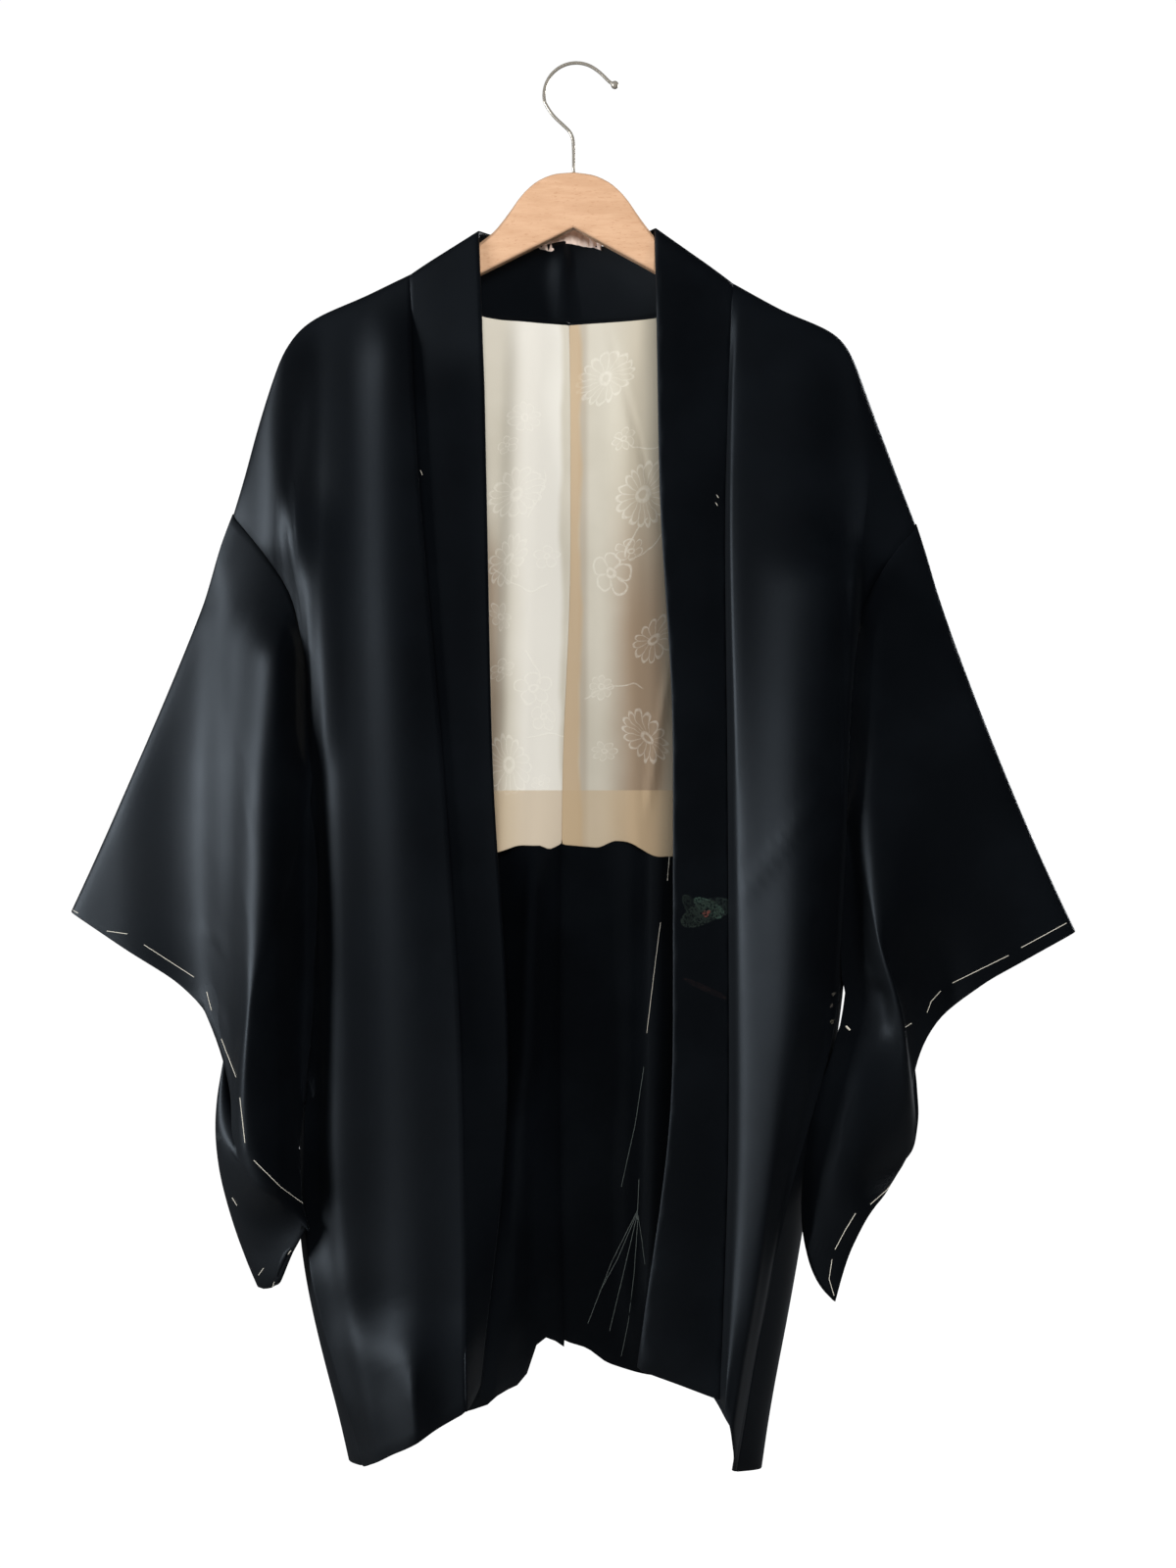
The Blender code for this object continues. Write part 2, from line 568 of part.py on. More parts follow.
def make_hook(finish, collection, cutters):
    """The wire hook, joined with the ball on its end."""
    route = hook_route()
    curve = bpy.data.curves.new("hanger_hook", "CURVE")
    curve.dimensions = "3D"
    curve.bevel_depth = WIRE_RADIUS * MM
    curve.bevel_resolution = 2
    curve.use_fill_caps = True
    wire = curve.splines.new("POLY")
    wire.points.add(len(route) - 1)
    for point, place in zip(wire.points, route):
        point.co = (*(place * MM), 1)
    drawn = bpy.data.objects.new("hook wire", curve)
    collection.objects.link(drawn)
    bpy.context.view_layer.update()
    mesh = bpy.data.meshes.new_from_object(drawn.evaluated_get(bpy.context.evaluated_depsgraph_get()))
    bpy.data.objects.remove(drawn)
    form = bmesh.new()
    form.from_mesh(mesh)
    bmesh.ops.remove_doubles(form, verts=form.verts, dist=1e-6)
    hook = solid_object("hanger_hook", form, finish, collection)
    hook.data.materials.clear()
    hook.data.materials.append(finish)
    ball_form = bmesh.new()
    bmesh.ops.create_uvsphere(ball_form, u_segments=16, v_segments=10, radius=HOOK_BALL_RADIUS * MM)
    bmesh.ops.translate(ball_form, verts=ball_form.verts, vec=route[0] * MM)
    ball = solid_object("hook_ball", ball_form, finish, cutters)
    ball.hide_render = True
    ball.display_type = "WIRE"
    union = hook.modifiers.new("ball", "BOOLEAN")
    union.operation = "UNION"
    union.object = ball
    return hook


def main():
    for existing in list(bpy.data.objects):
        bpy.data.objects.remove(existing)
    haori = bpy.data.collections.new("haori_on_hanger")
    cutters = bpy.data.collections.new("cutters")
    for collection in (haori, cutters):
        bpy.context.scene.collection.children.link(collection)
    silk = material("black silk", (0.012, 0.013, 0.018), 0.42)
    damask = material("cream damask", (0.80, 0.76, 0.64), 0.45)
    wood = material("beech", (0.60, 0.36, 0.20), 0.45)
    steel = material("hook steel", (0.62, 0.58, 0.50), 0.25, 1.0)

    sides = (
        ("right", -1, FRONT_RIGHT, FRONT_RIGHT_RIDGES, BACK_RIGHT, BACK_RIGHT_RIDGES,
         SLEEVE_RIGHT, SLEEVE_RIGHT_FOLDS, COLLAR_EDGE_RIGHT),
        ("left", 1, FRONT_LEFT, FRONT_LEFT_RIDGES, BACK_LEFT, BACK_LEFT_RIDGES,
         SLEEVE_LEFT, SLEEVE_LEFT_FOLDS, COLLAR_EDGE_LEFT),
    )
    collar_halves = []
    for name, side, fronts, front_ridges, backs, back_ridges, sleeve, folds, edge in sides:
        front, back, neck_corner = body_grids(fronts, front_ridges, backs, back_ridges, side)
        cloth(f"body_{name}", (front, back), CLOTH_WALL, silk, haori)
        cloth(f"sleeve_{name}", sleeve_grids(sleeve, folds, front, back), CLOTH_WALL, silk, haori)
        cloth(f"gusset_{name}", (gusset_grid(front, back, side),), CLOTH_WALL, silk, haori)
        cloth(f"lining_{name}", (lining_grid(back, neck_corner),), LINING_WALL, damask, haori)
        collar_halves.append(collar_half(front, back, neck_corner, edge))
    cloth("collar", (collar_grid(*collar_halves),), COLLAR_WALL, silk, haori, thin_edge=0)
    make_hanger(wood, haori)
    make_hook(steel, haori, cutters)


main()
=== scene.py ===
# Black silk haori with a cream damask lining, hanging on a flat beech hanger
import math
import numpy as np
import bpy
import bmesh
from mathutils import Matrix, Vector
from mathutils.bvhtree import BVHTree


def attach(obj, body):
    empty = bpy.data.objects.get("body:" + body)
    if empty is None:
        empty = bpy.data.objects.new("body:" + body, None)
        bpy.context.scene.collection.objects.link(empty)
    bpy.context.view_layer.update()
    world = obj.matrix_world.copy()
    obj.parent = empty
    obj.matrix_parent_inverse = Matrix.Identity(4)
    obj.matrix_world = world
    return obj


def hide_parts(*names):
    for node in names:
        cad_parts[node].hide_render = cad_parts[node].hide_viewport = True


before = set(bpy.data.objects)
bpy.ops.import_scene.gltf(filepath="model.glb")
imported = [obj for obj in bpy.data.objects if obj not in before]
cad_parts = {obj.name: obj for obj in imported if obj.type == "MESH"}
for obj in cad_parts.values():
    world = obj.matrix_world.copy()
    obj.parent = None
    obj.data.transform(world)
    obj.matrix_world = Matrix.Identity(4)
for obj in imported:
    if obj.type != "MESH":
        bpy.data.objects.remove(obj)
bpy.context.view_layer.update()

scene = bpy.context.scene
mm = 0.001
joinWithin = 1e-6
sharpTurn = math.radians(55)
print("frame loaded:", len(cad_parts), "nodes")


# small tools

def pickOnly(piece):
    bpy.ops.object.select_all(action="DESELECT")
    piece.select_set(True)
    bpy.context.view_layer.objects.active = piece


def applyModifiers(piece):
    pickOnly(piece)
    for modifier in list(piece.modifiers):
        bpy.ops.object.modifier_apply(modifier=modifier.name)


def applyPlace(piece):
    pickOnly(piece)
    bpy.ops.object.transform_apply(location=True, rotation=True, scale=True)


def softStep(t):
    t = min(max(t, 0.0), 1.0)
    return t * t * (3 - 2 * t)


def setInputs(node, values):
    for label, value in values.items():
        node.inputs[label].default_value = value


def wear(piece, node, materials):
    piece.data.materials.clear()
    for finish in materials:
        piece.data.materials.append(finish)
    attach(piece, "root")
    if node:
        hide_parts(node)


# camera and light

view = {
    "place": (0.0096, -1.6, -0.5872),
    "lens": 45,
    "sensor": 36,
    "width": 1200,
    "height": 1600,
    "nearest": 0.01,
}

bpy.ops.object.camera_add(location=view["place"], rotation=(math.pi / 2, 0, 0))
camera = bpy.context.active_object
camera.name = "viewCamera"
camera.data.lens = view["lens"]
camera.data.sensor_width = view["sensor"]
camera.data.clip_start = view["nearest"]
scene.camera = camera


def sightLine(px, py):  # start and direction of the line of sight through a point of the frame
    step = view["sensor"] / view["lens"] / view["height"]
    across = (px - view["width"] / 2) * step
    down = (py - view["height"] / 2) * step
    return Vector(view["place"]), Vector((across, 1, -down)).normalized()


studio = {
    "floorZ": -1.42,
    "wallY": 4.4,
    "sweep": 1.4,
    "sweepSteps": 16,
    "halfWidth": 6.0,
    "front": -4.5,
    "top": 4.0,
    "air": {"Color": (0.85, 0.92, 1.0, 1), "Strength": 0.03},
    "paper": {
        "Base Color": (0.07, 0.07, 0.07, 1),
        "Roughness": 0.9,
        "Specular IOR Level": 0.1,
        "Emission Color": (1, 1, 1, 1),
    },
}
# lamps: place, point aimed at, size, power, colour, whether the silk shines in its light
softboxes = {
    "keyLeft": ((-2.3, -1.1, -0.35), (0.0, 0.0, -0.6), 1.0, 64, (0.93, 0.965, 1.0), True),
    "frontFill": ((0.3, -2.6, 0.3), (0.0, 0.0, -0.6), 1.0, 86, (1.0, 0.985, 0.96), False),
    "rightFill": ((2.0, -1.5, 0.3), (0.0, 0.0, -0.4), 1.0, 18, (1.0, 0.98, 0.95), False),
    "backRight": ((1.8, 1.5, 0.2), (0.0, 0.0, -0.6), 1.1, 60, (0.97, 0.98, 1.0), True),
}


def makePaper():  # looks white but lends the cloth little light
    finish = bpy.data.materials.new("studioWhite")
    finish.use_nodes = True
    shader = finish.node_tree.nodes["Principled BSDF"]
    setInputs(shader, studio["paper"])
    seen = finish.node_tree.nodes.new("ShaderNodeLightPath")
    finish.node_tree.links.new(seen.outputs["Is Camera Ray"], shader.inputs["Emission Strength"])
    return finish


def makeStudio():
    wall, ground = studio["wallY"], studio["floorZ"]
    bpy.ops.object.select_all(action="DESELECT")
    bpy.ops.mesh.primitive_plane_add(size=1, location=(0, 0, 0))
    floor = bpy.context.active_object
    floor.name = "studioFloor"
    floor.scale = (studio["halfWidth"] * 2, wall - studio["front"], 1)
    floor.location = (0, (wall + studio["front"]) / 2, ground)
    applyPlace(floor)
    bpy.ops.object.mode_set(mode="EDIT")
    bpy.ops.mesh.select_all(action="DESELECT")
    bpy.ops.object.mode_set(mode="OBJECT")
    for edge in floor.data.edges:
        edge.select = all(floor.data.vertices[i].co.y > wall - mm for i in edge.vertices)
    bpy.ops.object.mode_set(mode="EDIT")
    bpy.ops.mesh.select_mode(type="EDGE")
    rise = (0, 0, studio["top"] - ground)
    bpy.ops.mesh.extrude_region_move(TRANSFORM_OT_translate={"value": rise})
    bpy.ops.object.mode_set(mode="OBJECT")
    for edge in floor.data.edges:
        ends = [floor.data.vertices[i].co for i in edge.vertices]
        edge.select = all(abs(end.y - wall) < mm and abs(end.z - ground) < mm for end in ends)
    bpy.ops.object.mode_set(mode="EDIT")
    bpy.ops.mesh.bevel(offset=studio["sweep"], segments=studio["sweepSteps"])
    bpy.ops.object.mode_set(mode="OBJECT")
    bpy.ops.object.shade_smooth()
    floor.data.materials.append(makePaper())


def makeLamps():
    for name, (place, aim, size, power, tone, shines) in softboxes.items():
        bpy.ops.object.light_add(type="AREA", location=place)
        lamp = bpy.context.active_object
        lamp.name = name
        lamp.data.size = size
        lamp.data.energy = power
        lamp.data.color = tone
        lamp.visible_glossy = shines
        toward = Vector(aim) - Vector(place)
        lamp.rotation_euler = toward.to_track_quat("-Z", "Y").to_euler()
    world = bpy.data.worlds.new("studioAir")
    world.use_nodes = True
    setInputs(world.node_tree.nodes["Background"], studio["air"])
    scene.world = world
    scene.view_settings.view_transform = "Standard"


makeStudio()
makeLamps()
print("studio ready")


# shader helpers

def feed(tree, socket, value):
    if isinstance(value, bpy.types.NodeSocket):
        tree.links.new(value, socket)
    else:
        socket.default_value = value


def maths(tree, operation, *values):
    node = tree.nodes.new("ShaderNodeMath")
    node.operation = operation
    for socket, value in zip(node.inputs, values):
        feed(tree, socket, value)
    return node.outputs[0]


def times(tree, first, second):
    return maths(tree, "MULTIPLY", first, second)


def plus(tree, first, second):
    return maths(tree, "ADD", first, second)


def minus(tree, first, second):
    return maths(tree, "SUBTRACT", first, second)


def larger(tree, first, second):
    return maths(tree, "MAXIMUM", first, second)


def apart(tree, first, second):  # how far two values are from each other
    return maths(tree, "ABSOLUTE", minus(tree, first, second))


def distanceOf(tree, first, second):  # length of a step from its two parts
    return maths(tree, "SQRT", plus(tree, times(tree, first, first), times(tree, second, second)))


def stepBetween(tree, value, low, high, toLow=0.0, toHigh=1.0):
    node = tree.nodes.new("ShaderNodeMapRange")
    node.interpolation_type = "SMOOTHSTEP"
    feed(tree, node.inputs["Value"], value)
    feed(tree, node.inputs["From Min"], low)
    feed(tree, node.inputs["From Max"], high)
    feed(tree, node.inputs["To Min"], toLow)
    feed(tree, node.inputs["To Max"], toHigh)
    return node.outputs[0]


def riseAndFall(tree, value, rise, fall):
    return times(tree, stepBetween(tree, value, *rise), stepBetween(tree, value, *fall))


def blendColour(tree, share, first, second):
    node = tree.nodes.new("ShaderNodeMix")
    node.data_type = "RGBA"
    feed(tree, node.inputs[0], share)  # sockets 6 and 7 and output 2 are the ones for colours
    feed(tree, node.inputs[6], first)
    feed(tree, node.inputs[7], second)
    return node.outputs[2]


def tint(tree, under, mask, share, colour):  # lays a colour over another where a mask is strong
    return blendColour(tree, times(tree, mask, share), under, colour)


# grains: scale, detail, roughness, how many times finer along each axis
grains = {
    "crinkle": (900.0, 2.0, 0.6, (1, 1, 0.6)),
    "slubs": (60.0, 2.0, 0.6, (1, 1, 14)),
    "unevenTone": (9.0, 4.0, 0.55, None),
    "wornPaint": (700.0, 2.0, 0.5, None),
    "wornMarks": (420.0, 3.0, 0.7, None),
    "wander": (11.0, 3.0, 0.5, None),
    "rings": (26.0, 4.0, 0.55, (1, 2, 7)),
    "fibre": (130.0, 3.0, 0.6, (1, 6, 9)),
    "flecks": (260.0, 1.0, 0.4, (1, 3, 3.2)),
    "drawnMetal": (1500.0, 2.0, 0.6, (1, 1, 0.15)),
    "twist": (2600.0, 2.0, 0.6, None),
}


def grainAt(tree, place, name):
    scale, detail, roughness, stretch = grains[name]
    if stretch:
        mapping = tree.nodes.new("ShaderNodeMapping")
        mapping.inputs["Scale"].default_value = stretch
        tree.links.new(place, mapping.inputs["Vector"])
        place = mapping.outputs[0]
    node = tree.nodes.new("ShaderNodeTexNoise")
    tree.links.new(place, node.inputs["Vector"])
    setInputs(node, {"Scale": scale, "Detail": detail, "Roughness": roughness})
    return node.outputs["Fac"]


def startGroup(name, values, results):  # a group that takes a place and some values
    group = bpy.data.node_groups.new(name, "ShaderNodeTree")
    group.interface.new_socket(name="Place", in_out="INPUT", socket_type="NodeSocketVector")
    for label, value in values.items():
        socket = group.interface.new_socket(name=label, in_out="INPUT", socket_type="NodeSocketFloat")
        socket.default_value = value
    for label in results:
        group.interface.new_socket(name=label, in_out="OUTPUT", socket_type="NodeSocketFloat")
    given = group.nodes.new("NodeGroupInput").outputs
    made = group.nodes.new("NodeGroupOutput").inputs
    split = group.nodes.new("ShaderNodeSeparateXYZ")
    group.links.new(given["Place"], split.inputs[0])
    return group, given, made, split.outputs["X"], split.outputs["Z"]


weaveFacts = {
    "values": {"Thread": 0.0005, "Slub": 0.4},
    "threadHeight": 0.25,
}


def makeWeave():  # warp and weft threads a given distance apart, with a slub here and there
    group, given, made, x, z = startGroup("silkWeave", weaveFacts["values"], ("Height", "Tone"))
    turns = maths(group, "DIVIDE", 2 * math.pi, given["Thread"])
    warp = maths(group, "SINE", times(group, x, turns))
    weft = maths(group, "SINE", times(group, z, turns))
    threads = times(group, times(group, warp, weft), weaveFacts["threadHeight"])
    height = plus(group, threads, grainAt(group, given["Place"], "crinkle"))
    slubs = times(group, grainAt(group, given["Place"], "slubs"), given["Slub"])
    group.links.new(plus(group, height, slubs), made["Height"])
    group.links.new(grainAt(group, given["Place"], "unevenTone"), made["Tone"])
    return group


flowerFacts = {
    "values": {
        "CentreX": 0.0,
        "CentreZ": 0.0,
        "Size": 0.02,
        "Petals": 5.0,
        "Squash": 1.0,
        "Turn": 0.0,
        "Depth": 0.35,
        "Outline": 0.5,
    },
    "roundness": 0.6,
    "inside": (0.0, 0.05),
    "gaps": (0.05, 0.32),
    "gapTone": 0.75,
    "coreRadius": 0.2,
    "core": (0.1, 0.03),
    "lineInset": 0.07,
    "line": (0.075, 0.03),
    "rayWidth": (0.42, 0.12),
    "rayStart": (0.24, 0.34),
    "rayTone": 0.8,
}


def makeFlower():  # one woven flower: petals round a centre, filled or drawn as outlines
    facts = flowerFacts
    group, given, made, x, z = startGroup("wovenFlower", facts["values"], ("Mark",))
    across = maths(group, "DIVIDE", minus(group, x, given["CentreX"]), given["Size"])
    up = maths(group, "DIVIDE", minus(group, z, given["CentreZ"]), given["Size"])
    cosine = maths(group, "COSINE", given["Turn"])
    sine = maths(group, "SINE", given["Turn"])
    along = plus(group, times(group, across, cosine), times(group, up, sine))
    aside = minus(group, times(group, up, cosine), times(group, across, sine))
    aside = times(group, aside, given["Squash"])
    distance = distanceOf(group, along, aside)
    angle = maths(group, "ARCTAN2", aside, along)
    swing = maths(group, "COSINE", times(group, angle, times(group, given["Petals"], 0.5)))
    petal = maths(group, "ABSOLUTE", swing)
    rounded = maths(group, "POWER", petal, facts["roundness"])
    edge = plus(group, minus(group, 1.0, given["Depth"]), times(group, rounded, given["Depth"]))
    toEdge = minus(group, edge, distance)
    inside = stepBetween(group, toEdge, *facts["inside"])
    gaps = times(group, stepBetween(group, petal, *facts["gaps"]), facts["gapTone"])
    core = stepBetween(group, apart(group, distance, facts["coreRadius"]), *facts["core"])
    filled = times(group, inside, larger(group, gaps, core))
    line = stepBetween(group, apart(group, toEdge, facts["lineInset"]), *facts["line"])
    rays = stepBetween(group, petal, *facts["rayWidth"])
    rays = times(group, rays, stepBetween(group, distance, *facts["rayStart"]))
    rays = times(group, times(group, rays, inside), facts["rayTone"])
    drawn = larger(group, larger(group, line, rays), core)
    filled = times(group, minus(group, 1.0, given["Outline"]), filled)
    mark = plus(group, filled, times(group, given["Outline"], drawn))
    group.links.new(mark, made["Mark"])
    return group


stemFacts = {
    "values": {"CentreX": 0.0, "CentreZ": 0.0, "Radius": 0.03, "Middle": 0.0, "HalfSweep": 0.6},
    "line": (0.0008, 0.0004),
    "fadeFrom": 0.9,
}


def makeStem():  # one woven stem: part of a thin ring
    group, given, made, x, z = startGroup("wovenStem", stemFacts["values"], ("Mark",))
    across = minus(group, x, given["CentreX"])
    up = minus(group, z, given["CentreZ"])
    off = apart(group, distanceOf(group, across, up), given["Radius"])
    line = stepBetween(group, off, *stemFacts["line"])
    turned = apart(group, maths(group, "ARCTAN2", up, across), given["Middle"])
    sweep = given["HalfSweep"]
    near = stepBetween(group, turned, sweep, times(group, sweep, stemFacts["fadeFrom"]))
    group.links.new(times(group, line, near), made["Mark"])
    return group


weave = makeWeave()
flower = makeFlower()
stem = makeStem()


def startMaterial(name):
    finish = bpy.data.materials.new(name)
    finish.use_nodes = True
    tree = finish.node_tree
    place = tree.nodes.new("ShaderNodeTexCoord").outputs["Object"]
    return finish, tree, tree.nodes["Principled BSDF"], place


def placeGroup(tree, group, place, **values):
    node = tree.nodes.new("ShaderNodeGroup")
    node.node_tree = group
    tree.links.new(place, node.inputs["Place"])
    setInputs(node, values)
    return node.outputs


def drawFlower(tree, place, row):
    cx, cz, size, petals, squash, turn, depth, outline = row
    drawn = placeGroup(tree, flower, place, CentreX=cx * mm, CentreZ=cz * mm, Size=size * mm,
                       Petals=petals, Squash=squash, Turn=turn, Depth=depth, Outline=outline)
    return drawn["Mark"]


def drawStem(tree, place, row):
    cx, cz, radius, middle, sweep = row
    drawn = placeGroup(tree, stem, place, CentreX=cx * mm, CentreZ=cz * mm, Radius=radius * mm,
                       Middle=middle, HalfSweep=sweep)
    return drawn["Mark"]


def bumpFrom(tree, shader, height, strength, distance):
    bump = tree.nodes.new("ShaderNodeBump")
    setInputs(bump, {"Strength": strength, "Distance": distance})
    tree.links.new(height, bump.inputs["Height"])
    tree.links.new(bump.outputs[0], shader.inputs["Normal"])


# silk

silkFacts = {
    "weave": {"Thread": 0.00055, "Slub": 0.35},
    "deep": (0.0010, 0.0013, 0.0019, 1),
    "worn": (0.0019, 0.0025, 0.0035, 1),
    "toneStep": (0.35, 0.68),
    "paintStep": (0.36, 0.56),
    "roughness": (0.3, 0.7, 0.55, 0.50),
    "bump": (0.35, 0.00012),
    "shine": {
        "Sheen Weight": 0.008,
        "Sheen Roughness": 0.42,
        "Sheen Tint": (0.72, 0.84, 1.0, 1),
        "Specular IOR Level": 0.4,
        "Specular Tint": (0.80, 0.90, 1.0, 1),
    },
}
# faint painted marks: centre x and z, size (mm), petals, squash, turn, depth of the petals, share as outline,
# colour
collarMarks = (
    (103, -690, 25, 1, 2.3, 0.25, 0.85, 0.25, (0.013, 0.019, 0.017, 1)),
    (111, -689, 19, 1, 2.8, 2.62, 0.85, 0.3, (0.030, 0.052, 0.041, 1)),
    (105, -690, 23, 1, 2.2, -2.72, 0.85, 0.35, (0.012, 0.017, 0.014, 1)),
    (96, -690, 17, 1, 2.6, 2.2, 0.85, 0.35, (0.009, 0.013, 0.011, 1)),
    (105, -691.5, 3.8, 3, 1.3, 0.5, 0.5, 0.0, (0.105, 0.030, 0.024, 1)),
    (104, -752, 20, 0, 9.0, -0.45, 0.8, 0.6, (0.010, 0.006, 0.006, 1)),
)
sleeveMarks = (
    (-289, -816, 4.5, 5, 1.0, 0.3, 0.5, 0.6, (0.050, 0.058, 0.058, 1)),
    (-291, -828, 3.5, 5, 1.3, 0.9, 0.5, 0.5, (0.040, 0.048, 0.048, 1)),
    (-292, -846, 5.0, 4, 1.0, 0.5, 0.5, 0.7, (0.045, 0.052, 0.052, 1)),
    (-286, -868, 4.0, 5, 1.2, 0.0, 0.5, 0.6, (0.035, 0.042, 0.042, 1)),
)
sideMarks = (
    (206, -755, 2.2, 3, 1.5, 0.3, 0.6, 0.4, (0.12, 0.11, 0.095, 1)),
    (204, -764, 1.8, 4, 1.2, 0.9, 0.6, 0.4, (0.10, 0.09, 0.08, 1)),
    (205, -777, 2.4, 3, 1.4, 0.5, 0.6, 0.5, (0.14, 0.13, 0.10, 1)),
)


def makeSilk(name, marks):
    finish, tree, shader, place = startMaterial(name)
    cloth = placeGroup(tree, weave, place, **silkFacts["weave"])
    share = stepBetween(tree, cloth["Tone"], *silkFacts["toneStep"])
    colour = blendColour(tree, share, silkFacts["deep"], silkFacts["worn"])
    for *row, tone in marks:
        worn = stepBetween(tree, grainAt(tree, place, "wornPaint"), *silkFacts["paintStep"])
        colour = tint(tree, colour, drawFlower(tree, place, row), worn, tone)
    tree.links.new(colour, shader.inputs["Base Color"])
    roughness = stepBetween(tree, cloth["Tone"], *silkFacts["roughness"])
    tree.links.new(roughness, shader.inputs["Roughness"])
    setInputs(shader, silkFacts["shine"])
    bumpFrom(tree, shader, cloth["Height"], *silkFacts["bump"])
    return finish


# lining

creamFacts = {
    "weave": {"Thread": 0.0006, "Slub": 0.5},
    "cream": (0.47, 0.44, 0.37, 1),
    "creamLight": (0.53, 0.50, 0.43, 1),
    "toneStep": (0.3, 0.7),
}
# painted light and shade on the lining, and its own tan strip and hem band: what they span across the cloth
# and down it (m), share, colour
liningTonesAndPaintedLight = {
    # the lit ridge: a painted highlight
    "ridge": {"across": ((-0.062, -0.040), (-0.010, -0.016)), "share": 0.85, "tone": (0.66, 0.645, 0.60, 1)},
    # painted shadow along the left edge, where the collar shades the lining
    "edge": {"across": (-0.056, -0.072), "down": (-0.34, -0.42), "share": 0.75},
    # painted shade over the right part, which faces away from the light
    "right": {"across": (0.018, 0.060), "share": 0.8, "tone": (0.40, 0.355, 0.275, 1)},
    # painted shadow in the hollow, lower down
    "hollow": {"across": ((0.016, 0.050), (0.084, 0.066)), "down": (-0.28, -0.47), "share": 0.88},
    # painted shade in a narrow band beside the tan strip
    "beside": {"across": ((0.000, 0.004), (0.012, 0.006)), "share": 0.35},
    "strip": {"across": (0.006, 0.001), "share": 0.85, "tone": (0.44, 0.325, 0.205, 1)},
    "band": {"down": (-0.592, -0.593), "share": 0.6, "tone": (0.44, 0.33, 0.205, 1)},
    # colour of the painted shade and painted shadows
    "shade": (0.215, 0.150, 0.098, 1),
}
damaskFacts = {
    "wander": 0.012,
    "ribWidth": 0.0012,
    "wornStep": (0.30, 0.62),
    "ribbed": (0.85, 0.15),
    "rubbed": (0.5, 0.5),
    "covered": 0.75,
    "mark": (0.80, 0.78, 0.71, 1),
    "markShare": 0.30,
    "roughness": (0.0, 1.0, 0.62, 0.4),
    "shine": {"Sheen Weight": 0.04, "Specular IOR Level": 0.25},
    "clothHeight": 0.4,
    "bump": (0.4, 0.00025),
    "seamX": -11,
    "rippleScale": 38.0,
    "ripple": 0.007,
    # every flower: centre x and z, size (mm), petals, squash, turn, depth of the petals, share as outline
    "flowers": (
        (-44, -282, 15, 9, 1.2, 0.2, 0.34, 0.8), (-58, -306, 9, 5, 1.1, 0.5, 0.4, 0.9),
        (-50, -346, 26, 15, 1.3, 0.5, 0.24, 0.9), (-58, -400, 24, 13, 1.6, 1.1, 0.26, 0.85),
        (-24, -398, 13, 5, 1.2, 0.3, 0.42, 0.9), (-64, -446, 15, 7, 1.5, 2.0, 0.6, 0.7),
        (24, -250, 27, 17, 1.5, 0.6, 0.22, 0.9), (40, -300, 12, 7, 1.3, 0.6, 0.42, 0.9),
        (58, -345, 30, 19, 1.3, 1.2, 0.22, 0.95), (30, -412, 18, 5, 1.0, 0.2, 0.4, 0.95),
        (44, -392, 11, 6, 1.2, 0.8, 0.5, 0.9), (-62, -492, 13, 6, 1.4, 0.5, 0.55, 0.8),
        (-35, -508, 16, 5, 1.0, 0.4, 0.42, 0.95), (-28, -532, 11, 5, 1.0, 0.1, 0.4, 0.9),
        (-58, -570, 26, 17, 1.3, 1.7, 0.22, 0.95), (-30, -585, 9, 6, 1.4, 0.3, 0.5, 0.7),
        (20, -505, 13, 8, 1.2, 0.7, 0.35, 0.7), (58, -548, 24, 15, 1.3, 2.1, 0.28, 0.9),
        (66, -466, 22, 13, 1.5, 0.9, 0.3, 0.9), (22, -560, 12, 7, 1.4, 0.2, 0.5, 0.8),
    ),
    # every stem: centre x and z, radius (mm), middle and half of its sweep (radians)
    "stems": (
        (62, -246, 60, -1.7, 0.45), (-32, -370, 54, -1.9, 0.5), (40, -566, 62, 1.75, 0.45),
        (-22, -596, 52, 1.5, 0.45), (30, -356, 46, -0.9, 0.4), (-76, -334, 48, -0.3, 0.5),
        (-60, -500, 30, 0.4, 0.6), (80, -400, 40, 2.6, 0.5),
    ),
}


def rippled(tree, place):  # the place pulled about a little, so that drawn lines waver
    ripple = damaskFacts["ripple"]
    noise = tree.nodes.new("ShaderNodeTexNoise")
    noise.inputs["Scale"].default_value = damaskFacts["rippleScale"]
    tree.links.new(place, noise.inputs["Vector"])
    pulled = tree.nodes.new("ShaderNodeVectorMath")
    pulled.operation = "MULTIPLY_ADD"
    pulled.inputs[1].default_value = (2 * ripple, 0, 2 * ripple)
    tree.links.new(noise.outputs["Color"], pulled.inputs[0])
    tree.links.new(place, pulled.inputs[2])
    centred = tree.nodes.new("ShaderNodeVectorMath")
    centred.operation = "ADD"
    centred.inputs[1].default_value = (-ripple, 0, -ripple)
    tree.links.new(pulled.outputs[0], centred.inputs[0])
    return centred.outputs[0]


def liningMarks(tree, place, side):  # the woven flowers and stems on one side of the seam
    place = rippled(tree, place)
    seam = damaskFacts["seamX"]
    marks = [drawFlower(tree, place, row) for row in damaskFacts["flowers"] if (row[0] - seam) * side > 0]
    marks += [drawStem(tree, place, row) for row in damaskFacts["stems"] if (row[0] - seam) * side > 0]
    strongest = marks[0]
    for mark in marks[1:]:
        strongest = larger(tree, strongest, mark)
    return strongest


def rightPaintedLight(tree, x, z, bentX, toned):  # painted highlight on the ridge and painted shade on the edge beyond it
    ridge, edge = liningTonesAndPaintedLight["ridge"], liningTonesAndPaintedLight["edge"]
    mask = riseAndFall(tree, bentX, *ridge["across"])
    toned = tint(tree, toned, mask, ridge["share"], ridge["tone"])
    # painted shadow along the edge, lower down
    mask = times(tree, stepBetween(tree, bentX, *edge["across"]), stepBetween(tree, z, *edge["down"]))
    return tint(tree, toned, mask, edge["share"], liningTonesAndPaintedLight["shade"]), None


